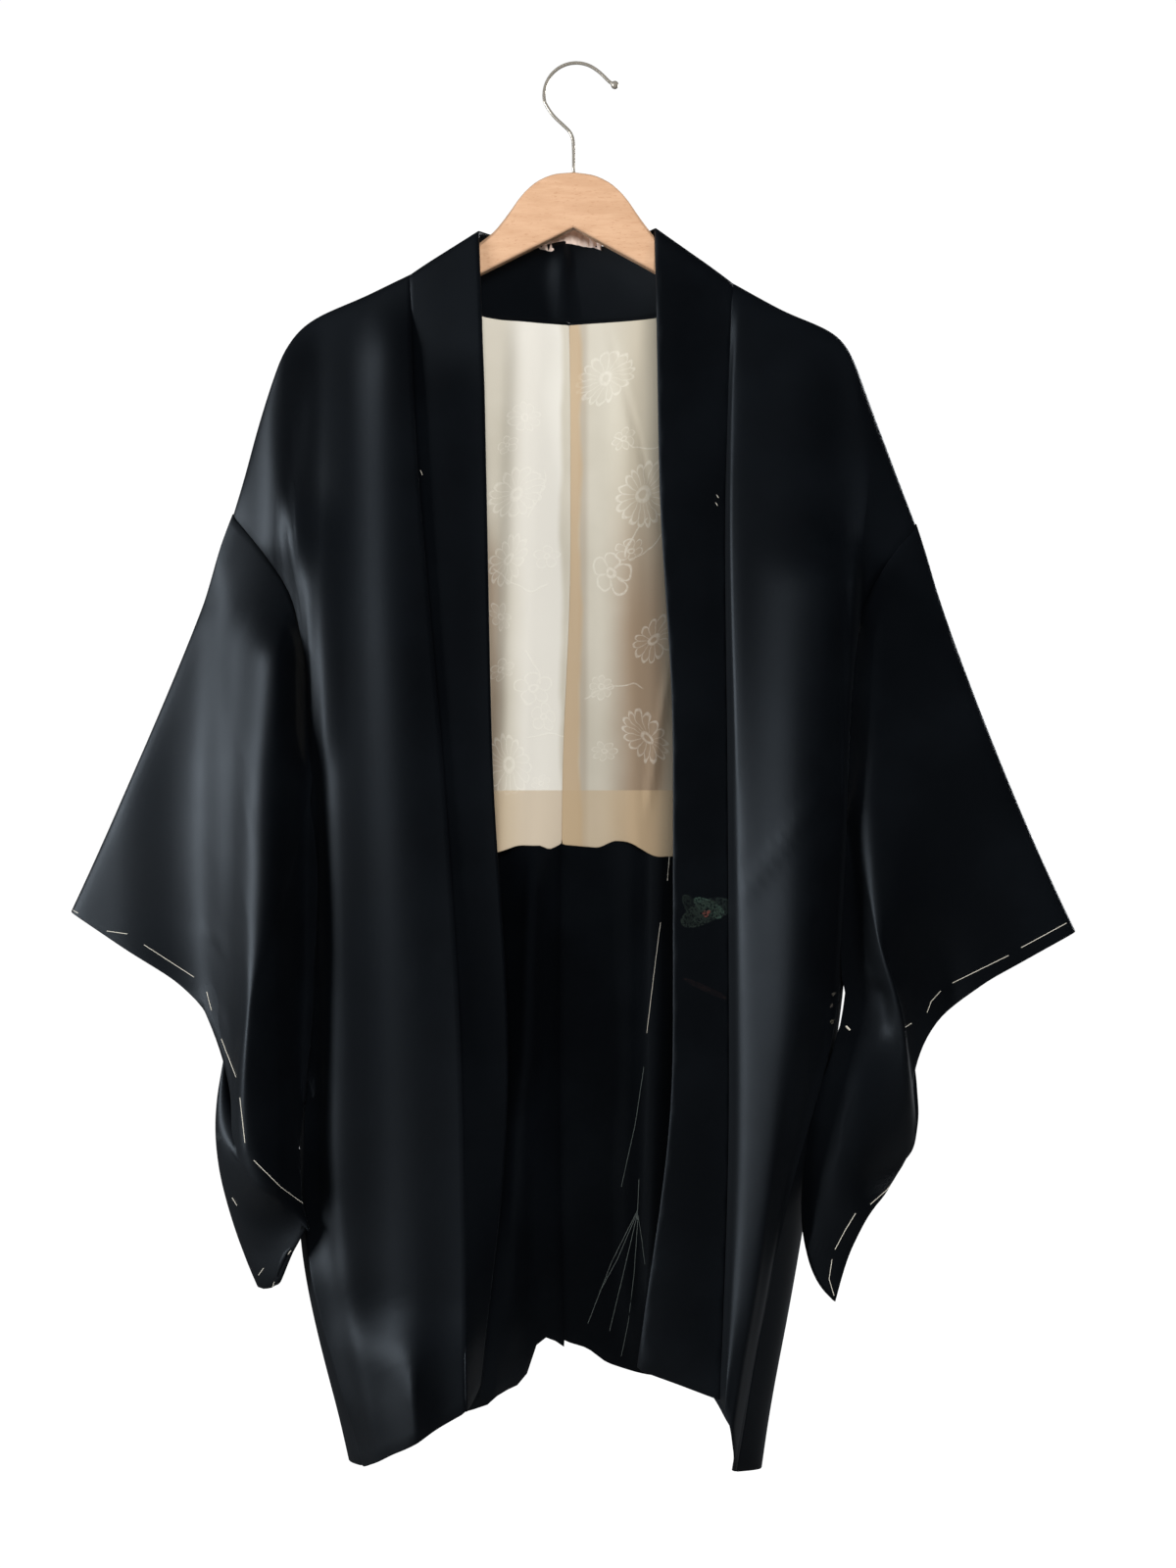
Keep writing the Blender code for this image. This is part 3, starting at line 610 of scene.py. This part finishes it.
def leftStripAndPaintedShade(tree, x, z, bentX, toned):  # the tan strip at the seam, and painted shade on the cloth beyond it
    right, hollow = liningTonesAndPaintedLight["right"], liningTonesAndPaintedLight["hollow"]
    beside, strip = liningTonesAndPaintedLight["beside"], liningTonesAndPaintedLight["strip"]
    # painted shade over the right part
    mask = stepBetween(tree, bentX, *right["across"])
    toned = tint(tree, toned, mask, right["share"], right["tone"])
    # painted shadow in the hollow
    mask = riseAndFall(tree, bentX, *hollow["across"])
    mask = times(tree, mask, stepBetween(tree, z, *hollow["down"]))
    toned = tint(tree, toned, mask, hollow["share"], liningTonesAndPaintedLight["shade"])
    # painted shade beside the tan strip
    mask = riseAndFall(tree, x, *beside["across"])
    toned = tint(tree, toned, mask, beside["share"], liningTonesAndPaintedLight["shade"])
    mask = stepBetween(tree, bentX, *strip["across"])
    return tint(tree, toned, mask, strip["share"], strip["tone"]), mask


def creamCloth(tree, place):
    cloth = placeGroup(tree, weave, place, **creamFacts["weave"])
    share = stepBetween(tree, cloth["Tone"], *creamFacts["toneStep"])
    return cloth, blendColour(tree, share, creamFacts["cream"], creamFacts["creamLight"])


def woven(tree, marks, mask, least, more):  # lets a mask weaken the marks, down to a least share
    return times(tree, marks, plus(tree, least, times(tree, mask, more)))


def makeDamask(name, side, sideToneAndPaintedLight):
    facts, band = damaskFacts, liningTonesAndPaintedLight["band"]
    finish, tree, shader, place = startMaterial(name)
    split = tree.nodes.new("ShaderNodeSeparateXYZ")
    tree.links.new(place, split.inputs[0])
    x, z = split.outputs["X"], split.outputs["Z"]
    wander = times(tree, minus(tree, grainAt(tree, place, "wander"), 0.5), facts["wander"])
    cloth, toned = creamCloth(tree, place)
    # paints the lining's highlight and shade into its colour, and the tan strip on the left side
    toned, strip = sideToneAndPaintedLight(tree, x, z, plus(tree, x, wander), toned)
    low = stepBetween(tree, z, *band["down"])
    toned = tint(tree, toned, low, band["share"], band["tone"])
    ribs = maths(tree, "SINE", times(tree, plus(tree, z, x), 2 * math.pi / facts["ribWidth"]))
    worn = stepBetween(tree, grainAt(tree, place, "wornMarks"), *facts["wornStep"])
    marks = woven(tree, liningMarks(tree, place, side), ribs, *facts["ribbed"])
    marks = woven(tree, marks, worn, *facts["rubbed"])
    covered = larger(tree, strip, low) if strip else low
    marks = times(tree, marks, minus(tree, 1.0, times(tree, covered, facts["covered"])))
    colour = tint(tree, toned, marks, facts["markShare"], facts["mark"])
    tree.links.new(colour, shader.inputs["Base Color"])
    tree.links.new(stepBetween(tree, marks, *facts["roughness"]), shader.inputs["Roughness"])
    setInputs(shader, facts["shine"])
    height = plus(tree, times(tree, cloth["Height"], facts["clothHeight"]), marks)
    bumpFrom(tree, shader, height, *facts["bump"])
    return finish


sleeveLiningFacts = {
    "roughness": (0.3, 0.7, 0.6, 0.5),
    "shine": {"Sheen Weight": 0.08},
    "bump": (0.3, 0.00015),
}


def makeSleeveLining():
    finish, tree, shader, place = startMaterial("sleeveLining")
    cloth, colour = creamCloth(tree, place)
    tree.links.new(colour, shader.inputs["Base Color"])
    roughness = stepBetween(tree, cloth["Tone"], *sleeveLiningFacts["roughness"])
    tree.links.new(roughness, shader.inputs["Roughness"])
    setInputs(shader, sleeveLiningFacts["shine"])
    bumpFrom(tree, shader, cloth["Height"], *sleeveLiningFacts["bump"])
    return finish


# wood, metal and thread

beechFacts = {
    "light": (0.53, 0.335, 0.212, 1),
    "dark": (0.465, 0.282, 0.172, 1),
    "ringStep": (0.32, 0.7),
    "fibre": (0.45, 0.252, 0.145, 1),
    "fibreStep": (0.45, 0.75),
    "fibreShare": 0.35,
    "fleck": (0.39, 0.212, 0.118, 1),
    "fleckStep": (0.62, 0.72),
    "fleckShare": 0.5,
    "fleckHeight": -0.6,
    "roughness": (0.3, 0.7, 0.36, 0.48),
    "varnish": {"Coat Weight": 0.12, "Coat Roughness": 0.3},
    "bump": (0.12, 0.0002),
}


def makeBeech():
    facts = beechFacts
    finish, tree, shader, place = startMaterial("beech")
    rings = stepBetween(tree, grainAt(tree, place, "rings"), *facts["ringStep"])
    fibre = grainAt(tree, place, "fibre")
    fleck = stepBetween(tree, grainAt(tree, place, "flecks"), *facts["fleckStep"])
    base = blendColour(tree, rings, facts["light"], facts["dark"])
    strands = stepBetween(tree, fibre, *facts["fibreStep"])
    base = tint(tree, base, strands, facts["fibreShare"], facts["fibre"])
    base = tint(tree, base, fleck, facts["fleckShare"], facts["fleck"])
    tree.links.new(base, shader.inputs["Base Color"])
    tree.links.new(stepBetween(tree, fibre, *facts["roughness"]), shader.inputs["Roughness"])
    setInputs(shader, facts["varnish"])
    height = plus(tree, fibre, times(tree, fleck, facts["fleckHeight"]))
    bumpFrom(tree, shader, height, *facts["bump"])
    return finish


# metal and threads: grain, its shine, roughness over part of the grain, bump
plainKinds = {
    "metal": ("drawnMetal", {"Metallic": 0.6}, (0.3, 0.7, 0.22, 0.34), (0.1, 0.00005)),
    "thread": ("twist", {"Sheen Weight": 0.2}, (0.3, 0.7, 0.85, 0.7), (0.4, 0.0001)),
}


def makePlain(name, kind, dark, light):
    grain, shine, roughness, bump = plainKinds[kind]
    finish, tree, shader, place = startMaterial(name)
    texture = grainAt(tree, place, grain)
    tree.links.new(blendColour(tree, texture, dark, light), shader.inputs["Base Color"])
    tree.links.new(stepBetween(tree, texture, *roughness), shader.inputs["Roughness"])
    setInputs(shader, shine)
    bumpFrom(tree, shader, texture, *bump)
    return finish


silk = makeSilk("blackSilk", ())
collarSilk = makeSilk("paintedSilk", collarMarks)
sleeveSilk = makeSilk("sprayedSilk", sleeveMarks)
sideSilk = makeSilk("speckledSilk", sideMarks)
damaskRight = makeDamask("creamDamaskRight", -1, rightPaintedLight)
damaskLeft = makeDamask("creamDamaskLeft", 1, leftStripAndPaintedShade)
sleeveLining = makeSleeveLining()
beech = makeBeech()
steel = makePlain("hookSteel", "metal", (0.36, 0.33, 0.28, 1), (0.52, 0.48, 0.42, 1))
creamThread = makePlain("creamThread", "thread", (0.40, 0.37, 0.31, 1), (0.70, 0.67, 0.59, 1))
pinkTrim = makePlain("pinkTrim", "thread", (0.74, 0.54, 0.45, 1), (0.95, 0.82, 0.74, 1))
needleThread = makePlain("needleThread", "thread", (0.055, 0.070, 0.068, 1), (0.11, 0.13, 0.125, 1))
print("finishes mixed")


# cloth shells

# soft folds: top x, top z, low x, low z, rise at the top, rise at the foot, reach right, reach left (mm)
frontFolds = (
    (-146, -240, -122, -1000, 7.0, -1.0, 40, 46),
    (-244, -250, -244, -390, 13.0, 16.0, 36, 40),
    (-150, -440, -146, -1000, 0.0, -14.0, 66, 140),
    (-214, -990, -200, -1080, 7.0, 7.0, 12, 84),
    (-224, -390, -224, -540, 9.0, 9.0, 16, 44),
    (-118, -738, -96, -720, 1.5, 1.0, 7, 7),
    (220, -430, 192, -1000, 22.0, 14.0, 84, 14),
    (184, -606, 150, -650, 2.0, 1.5, 6, 9),
)
backFolds = (
    (-60, -300, -70, -1000, 2.5, 4.0, 12, 12),
    (-146, -320, -150, -1040, 2.5, 3.5, 11, 11),
    (64, -320, 52, -1000, 2.5, 4.0, 12, 12),
    (142, -320, 124, -1040, 2.5, 3.5, 11, 11),
    (-35, -690, -53, -1040, -7.0, -7.0, 16, 6),
)
sleeveFolds = (
    (-310, -440, -306, -880, -9.0, -8.0, 66, 30),
    (-238, -486, -236, -900, 26.0, 25.0, 46, 22),
    (240, -420, 232, -640, 5.0, 2.0, 26, 24),
    (286, -690, 280, -900, 0.0, -42.0, 76, 40),
)
liningFolds = (
    (-47, -230, -62, -655, 4.0, 7.0, 16, 18),
    (40, -260, 48, -640, 3.0, 5.0, 18, 16),
    (34, -238, 63, -345, -1.4, -1.2, 3.0, 4.5),
    (70, -528, 62, -582, 3.0, 3.0, 3.0, 7.0),
    (-74, -580, -74, -690, 5.0, 5.0, 20, 20),
)
collarFolds = (
    (-66, -270, -50, -1000, -12.0, -12.0, 62, 56),
    (-150, -440, -146, -1000, 0.0, -14.0, 66, 140),
    (58, -200, 54, -1040, 12.0, 12.0, 8, 72),
)
neckFolds = (
    (-10, -158, -9, -196, -5.0, -3.0, 20, 6),
)

shaping = {
    "levels": {"silk": 2, "lining": 3},  # how often the shells are rounded
    "quadTurn": math.radians(60),
    "crease": 0.72,
    "grow": 0.0015,  # how far the edges move out (m)
    "wallMost": 0.0035,  # width of the widest edge face (m)
    "foldFade": 45,  # the rest in mm: how far a fold fades past its ends
    "middleY": 2,  # parts the front layer from the back one
    "foldBlend": 8,  # how softly it does so
    "shiftBlend": 10,
    "calmTop": 60,
    "calmFoot": 30,
    "calmDepth": 5,
}

# cloths: node, slot, flat size of the cut (m), area of what shows (m2), what carries it, folds, finish
# grow: how far the edges move out (m), where it isn't the usual
# calm: rounds of evening, from what height down to what height (mm)
# shifts: areas that move by x, z, reach in x, reach in z, layer (1 back, -1 front, 0 both), offset (mm)
cloths = {
    "bodyRight": {
        "node": "body_right", "flat": (0.30, 1.73), "area": 0.403, "carriers": ["hanger_wood"],
        "fronts": frontFolds, "backs": backFolds, "calm": (36, -220, -1060),
        "shifts": ((-26, -1060, 18, 70, 1, (0, 0, 14)), (-48, -1085, 12, 70, 1, (0, 0, -6)),
                   (-15, -1048, 10, 60, 1, (0, 0, -9))),
    },
    "bodyLeft": {
        "node": "body_left", "flat": (0.30, 1.73), "area": 0.403, "carriers": ["hanger_wood"],
        "fronts": frontFolds, "backs": backFolds, "calm": (40, -240, -1060), "finish": sideSilk,
        "shifts": ((50, -1062, 44, 60, 1, (0, 0, -7)),),
    },
    "sleeveRight": {
        "node": "sleeve_right", "flat": (0.34, 0.98), "area": 0.18, "carriers": ["bodyRight"],
        "fronts": sleeveFolds, "calm": (70, -440, -960), "finish": sleeveSilk,
        "shifts": ((-215, -775, 40, 220, 0, (4.5, 0, 0)),),
    },
    "sleeveLeft": {
        "node": "sleeve_left", "flat": (0.34, 0.98), "area": 0.18, "carriers": ["bodyLeft"],
        "fronts": sleeveFolds, "calm": (160, -470, -960),
        "shifts": ((219, -655, 40, 100, 0, (-4.0, 0, 0)), (214, -875, 34, 80, 0, (-4.0, 0, 0)),
                   (226, -768, 24, 26, 0, (3.5, 0, 0)), (285, -850, 60, 130, 0, (6, 0, 0))),
    },
    "gussetRight": {
        "node": "gusset_right", "flat": (0.06, 0.56), "area": 0.0224, "carriers": ["bodyRight"],
        "grow": 0.001,
    },
    "gussetLeft": {
        "node": "gusset_left", "flat": (0.06, 0.56), "area": 0.0224, "carriers": ["bodyLeft"],
        "grow": 0.001, "finish": sideSilk,
    },
    "collarBand": {
        "node": "collar", "flat": (0.066, 2.14), "area": 0.1412,
        "carriers": ["hanger_wood", "bodyRight", "bodyLeft"],
        "fronts": collarFolds, "backs": neckFolds, "grow": 0.0012, "finish": collarSilk,
    },
    "liningRight": {
        "node": "lining_right", "slot": "lining", "flat": (0.14, 0.485), "carriers": ["bodyRight"],
        "fronts": liningFolds, "grow": 0.0004, "finish": damaskRight,
        "shifts": ((-80, -655, 54, 80, 0, (0, 0, 8.5)), (-10, -655, 22, 80, 0, (0, 0, -6.5)),
                   (-119, -640, 26, 44, 0, (0, -5.0, 0))),
    },
    "liningLeft": {
        "node": "lining_left", "slot": "lining", "flat": (0.14, 0.485), "carriers": ["bodyLeft"],
        "fronts": liningFolds, "grow": 0.0004, "finish": damaskLeft,
        "shifts": ((100, -645, 60, 80, 0, (0, 0, -12)), (-2, -655, 36, 80, 0, (0, 0, -7))),
    },
}


def copyForm(node, name):  # a node's own form, left in edit mode with its doubled points joined
    piece = bpy.data.objects.new(name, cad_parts[node].data.copy())
    scene.collection.objects.link(piece)
    piece.data.polygons.foreach_set("material_index", [0] * len(piece.data.polygons))
    pickOnly(piece)
    bpy.ops.object.mode_set(mode="EDIT")
    bpy.ops.mesh.select_mode(type="VERT")
    bpy.ops.mesh.select_all(action="SELECT")
    bpy.ops.mesh.remove_doubles(threshold=joinWithin)
    return piece


def growEdges(piece, grow):  # the narrow faces round the edge move out along the cloth, to close the seams
    form = bmesh.new()
    form.from_mesh(piece.data)
    toward = {}
    for face in form.faces:
        turns = [edge.calc_face_angle(0) for edge in face.edges if len(edge.link_faces) == 2]
        folds = sum(turn > sharpTurn for turn in turns)
        width = face.calc_area() / max(edge.calc_length() for edge in face.edges)
        if folds >= 2 and width < shaping["wallMost"]:
            for vertex in face.verts:
                toward[vertex] = toward.get(vertex, Vector()) + face.normal
    for vertex, normal in toward.items():
        vertex.co += normal.normalized() * grow
    form.to_mesh(piece.data)
    form.free()


def roundedShell(node, name, levels, grow=0.0):
    piece = copyForm(node, name)
    bpy.ops.mesh.tris_convert_to_quads(face_threshold=shaping["quadTurn"], shape_threshold=math.pi)
    bpy.ops.mesh.select_all(action="DESELECT")
    bpy.ops.mesh.select_mode(type="EDGE")
    bpy.ops.mesh.edges_select_sharp(sharpness=sharpTurn)
    bpy.ops.transform.edge_crease(value=shaping["crease"])
    bpy.ops.object.mode_set(mode="OBJECT")
    if grow:
        growEdges(piece, grow)
    rounding = piece.modifiers.new("rounding", "SUBSURF")
    rounding.levels = rounding.render_levels = levels
    return piece


def smoothIslands(form):  # groups of faces that meet without a sharp turn, the largest first
    left = set(form.faces)
    islands = []
    while left:
        start = left.pop()
        island, waiting = [start], [start]
        while waiting:
            for edge in waiting.pop().edges:
                if len(edge.link_faces) == 2 and edge.calc_face_angle(0) < sharpTurn:
                    for other in edge.link_faces:
                        if other in left:
                            left.discard(other)
                            island.append(other)
                            waiting.append(other)
        islands.append(island)
    islands.sort(key=lambda island: -sum(face.calc_area() for face in island))
    return islands


def markInside(piece):  # faces of the inner wall take the second finish
    form = bmesh.new()
    form.from_mesh(piece.data)
    first, second = smoothIslands(form)[:2]
    reach = [min(face.calc_center_median().y for face in island) for island in (first, second)]
    inner = first if reach[0] > reach[1] else second
    for face in inner:
        face.material_index = 1
    form.to_mesh(piece.data)
    form.free()


def shift(piece, rows):  # whole areas move a little, full strength in the middle half of each reach
    for vertex in piece.data.vertices:
        place = vertex.co
        moved = Vector()
        for x, z, reachX, reachZ, layer, offset in rows:
            share = softStep(2 - 2 * abs(place.x / mm - x) / reachX)
            share *= softStep(2 - 2 * abs(place.z / mm - z) / reachZ)
            if layer:
                share *= softStep(0.5 + layer * place.y / mm / shaping["shiftBlend"])
            moved += Vector(offset) * share * mm
        vertex.co = place + moved


def calm(piece, rounds, top, low):  # evens the depth of the front cloth, without moving its outline
    mesh = piece.data
    places = np.empty(len(mesh.vertices) * 3)
    mesh.vertices.foreach_get("co", places)
    places = places.reshape(-1, 3)
    edges = np.empty(len(mesh.edges) * 2, dtype=np.int32)
    mesh.edges.foreach_get("vertices", edges)
    first, second = edges.reshape(-1, 2).T
    count = np.zeros(len(places))
    np.add.at(count, first, 1)
    np.add.at(count, second, 1)
    share = np.clip((top - places[:, 2] / mm) / shaping["calmTop"], 0, 1)
    share *= np.clip((places[:, 2] / mm - low) / shaping["calmFoot"], 0, 1)
    share *= np.clip((shaping["calmDepth"] - places[:, 1] / mm) / shaping["calmDepth"], 0, 1)
    for _ in range(rounds):
        total = np.zeros(len(places))
        np.add.at(total, first, places[second, 1])
        np.add.at(total, second, places[first, 1])
        places[:, 1] += share * (total / count - places[:, 1])
    mesh.vertices.foreach_set("co", places.ravel())


def foldRise(folds, x, z):
    total = 0.0
    for topX, topZ, lowX, lowZ, topRise, lowRise, right, left in folds:
        along = (topZ - z) / (topZ - lowZ)
        crest = topX + (lowX - topX) * along
        past = max(z - topZ, lowZ - z, 0) / shaping["foldFade"]
        away = abs(x - crest) / (left if x > crest else right)
        if away < 1 and past < 1:
            rise = topRise + (lowRise - topRise) * min(max(along, 0), 1)
            total += rise * 0.5 * (1 + math.cos(math.pi * away)) * softStep(1 - past)
    return total


def layFolds(piece, fronts, backs):
    middle, blend = shaping["middleY"], shaping["foldBlend"]
    for vertex in piece.data.vertices:
        place = vertex.co
        x, y, z = place.x / mm, place.y / mm, place.z / mm
        if fronts:
            toward = softStep((middle - y) / blend) if backs else 1.0
            place.y -= toward * foldRise(fronts, x, z) * mm
        if backs:
            place.y += softStep((y - middle) / blend) * foldRise(backs, x, z) * mm


pieces = {}
for name, facts in cloths.items():
    slotName = facts.get("slot", "silk")
    grow = facts.get("grow", shaping["grow"])
    piece = roundedShell(facts["node"], name, shaping["levels"][slotName], grow)
    if name.startswith("sleeve"):
        markInside(piece)
    applyModifiers(piece)
    if "shifts" in facts:
        shift(piece, facts["shifts"])
    if "calm" in facts:
        calm(piece, *facts["calm"])
    layFolds(piece, facts.get("fronts"), facts.get("backs"))
    bpy.ops.object.shade_smooth()
    finishes = [facts.get("finish", silk)]
    if slotName == "silk":
        finishes.append(sleeveLining)
    wear(piece, facts["node"], finishes)
    pieces[name] = piece
    print("cloth:", name, len(piece.data.polygons), "faces")


# hanger and hook

hangerFacts = {
    "flatWithin": math.radians(0.3),
    "edgeRound": 0.0007,
    "edgeSteps": 3,
    "edgeTurn": math.radians(24),
    "smoothTurn": math.radians(50),
    "hookLevels": 1,
}


def makeHanger():
    piece = copyForm("hanger_wood", "hangerBoard")
    bpy.ops.mesh.dissolve_limited(angle_limit=hangerFacts["flatWithin"])
    bpy.ops.object.mode_set(mode="OBJECT")
    easing = piece.modifiers.new("easing", "BEVEL")
    easing.width = hangerFacts["edgeRound"]
    easing.segments = hangerFacts["edgeSteps"]
    easing.limit_method = "ANGLE"
    easing.angle_limit = hangerFacts["edgeTurn"]
    applyModifiers(piece)
    bpy.ops.object.shade_smooth_by_angle(angle=hangerFacts["smoothTurn"])
    wear(piece, "hanger_wood", [beech])


def makeHook():
    piece = roundedShell("hanger_hook", "hangerHook", hangerFacts["hookLevels"])
    applyModifiers(piece)
    bpy.ops.object.shade_smooth()
    wear(piece, "hanger_hook", [steel])


makeHanger()
makeHook()
print("hanger and hook ready")


# threads

threadFacts = {
    "steps": 6,  # between two points of a stitch
    "lift": 0.6,  # share of its radius that it stands off the cloth
    "fewest": 3,
}
# stitches: cloths below, slot, finish, radius (m), and the points of the frame along every one
stitches = {
    "bastingRight": (["sleeveRight"], "lining", creamThread, 0.00029, (
        ((75, 929), (80, 932)), ((109, 950), (130, 953)), ((147, 964), (198, 997)),
        ((211, 1012), (216, 1031)), ((226, 1060), (241, 1099)), ((245, 1120), (250, 1166)),
        ((259, 1184), (286, 1211), (309, 1228)), ((237, 1222), (242, 1230)),
        ((294, 1280), (297, 1276)), ((278, 1314), (280, 1308)), ((264, 1301), (269, 1294)),
    )),
    "bastingLeft": (["sleeveLeft"], "lining", creamThread, 0.00029, (
        ((1042, 967), (1066, 954), (1088, 942)), ((972, 1003), (1029, 975)),
        ((960, 1011), (950, 1022), (946, 1033)), ((924, 1048), (930, 1044)),
        ((924, 1192), (905, 1214), (888, 1229)), ((873, 1238), (862, 1256), (852, 1275)),
        ((849, 1285), (846, 1305), (851, 1322)),
    )),
    "bastingInside": (["bodyRight", "bodyLeft"], "lining", creamThread, 0.00024, (
        ((683, 873), (681, 899)), ((674, 941), (667, 996), (660, 1054)),
    )),
    "bastingLow": (["bodyRight", "bodyLeft"], "silk", needleThread, 0.0002, (
        ((657, 1089), (648, 1148), (634, 1211)),
    )),
    "looseNeedles": (["bodyRight", "bodyLeft"], "silk", needleThread, 0.00022, (
        ((652, 1203), (651, 1226), (650, 1244)), ((650, 1236), (624, 1288), (600, 1350)),
        ((650, 1240), (636, 1300), (622, 1358)), ((651, 1242), (647, 1300), (641, 1350), (634, 1384)),
        ((651, 1240), (655, 1265), (658, 1290)), ((650, 1238), (630, 1285), (612, 1318)),
    )),
    "tackingStitches": (["bodyRight", "bodyLeft", "collarBand"], "lining", creamThread, 0.00022, (
        ((429, 480), (430, 482), (431, 485)), ((731, 505), (732, 506), (733, 508)),
        ((730, 513), (731, 514), (732, 516)),
    )),
    "sideKnot": (["sleeveLeft", "bodyLeft", "gussetLeft"], "lining", creamThread, 0.0009, (
        ((863, 1047), (865, 1049), (867, 1051)),
    )),
}


def surfaceOf(names):  # the pieces that something is laid on
    corners, faces = [], []
    for name in names:
        start = len(corners)
        mesh = pieces[name].data
        corners += [vertex.co.copy() for vertex in mesh.vertices]
        faces += [[start + i for i in polygon.vertices] for polygon in mesh.polygons]
    return BVHTree.FromPolygons(corners, faces)


def seenPoint(surface, px, py, lift=0.0):  # the cloth under a point of the frame, or a little in front of it
    start, toward = sightLine(px, py)
    place, normal, _, _ = surface.ray_cast(start, toward)
    if place is None:
        return None
    return place + (normal if normal.dot(toward) < 0 else -normal) * lift


def layThread(surface, points, lift):  # points of a thread over the cloth it lies on
    steps = threadFacts["steps"]
    route = []
    for (ax, ay), (bx, by) in zip(points, points[1:]):
        for i in range(steps):
            route.append(seenPoint(surface, ax + (bx - ax) * i / steps, ay + (by - ay) * i / steps, lift))
    route.append(seenPoint(surface, *points[-1], lift))
    return [place for place in route if place is not None]


def makeThreads(name, under, slotName, finish, radius, threads):
    surface = surfaceOf(under)
    curve = bpy.data.curves.new(name, "CURVE")
    curve.dimensions = "3D"
    curve.bevel_depth = radius
    curve.bevel_resolution = 1
    curve.use_fill_caps = True
    for points in threads:
        route = layThread(surface, points, radius * threadFacts["lift"])
        if len(route) < threadFacts["fewest"]:
            print("  no cloth under", name, points[0])
            continue
        spline = curve.splines.new("POLY")
        spline.points.add(len(route) - 1)
        for point, place in zip(spline.points, route):
            point.co = (*place, 1)
    drawn = bpy.data.objects.new(name, curve)
    scene.collection.objects.link(drawn)
    pickOnly(drawn)
    bpy.ops.object.convert(target="MESH")
    piece = bpy.context.active_object
    bpy.ops.object.shade_smooth()
    wear(piece, None, [finish])


for name, row in stitches.items():
    makeThreads(name, *row)


# crinkled edge of the neck facing, seen under the hanger

trimFacts = {
    # points of the frame along its lower edge, and one on the collar behind it
    "edge": ((547, 251), (551, 254), (563, 257), (571, 250), (580, 248.5), (588, 250), (597, 252),
             (607, 253), (614, 256)),
    "behind": (582, 262),
    "inFront": 0.0032,
    "height": 17,
    "columns": 44,
    "rows": 8,
    "crinkle": 0.0007,
    "waves": ((1.0, 0.9, 3), (0.6, 1.7, -5)),  # size, turn across, turn up
    "wall": 0.0005,
}


def trimEdge(px):  # height of the lower edge at one place across the frame
    for (ax, ay), (bx, by) in zip(trimFacts["edge"], trimFacts["edge"][1:]):
        if ax <= px <= bx:
            low = ay + (by - ay) * (px - ax) / (bx - ax)
    return low


def makeTrim():
    facts = trimFacts
    first, last = facts["edge"][0][0], facts["edge"][-1][0]
    depth = seenPoint(surfaceOf(["collarBand"]), *facts["behind"]).y - facts["inFront"]
    bpy.ops.object.select_all(action="DESELECT")
    bpy.ops.mesh.primitive_grid_add(x_subdivisions=facts["columns"], y_subdivisions=facts["rows"], size=2)
    piece = bpy.context.active_object
    piece.name = "neckTrim"
    for vertex in piece.data.vertices:
        px = first + (vertex.co.x + 1) / 2 * (last - first)
        up = (vertex.co.y + 1) / 2
        start, toward = sightLine(px, trimEdge(px) - up * facts["height"])
        place = start + toward * ((depth - start.y) / toward.y)
        wave = sum(size * math.sin(px * across + up * rise) for size, across, rise in facts["waves"])
        vertex.co = place + Vector((0, wave * facts["crinkle"], 0))
    pickOnly(piece)
    bpy.ops.object.mode_set(mode="EDIT")
    bpy.ops.mesh.select_all(action="SELECT")
    bpy.ops.mesh.normals_make_consistent(inside=False)
    bpy.ops.object.mode_set(mode="OBJECT")
    wall = piece.modifiers.new("wall", "SOLIDIFY")
    wall.thickness = facts["wall"]
    applyModifiers(piece)
    bpy.ops.object.shade_smooth()
    wear(piece, None, [pinkTrim])
    return piece


trim = makeTrim()
print("threads laid")
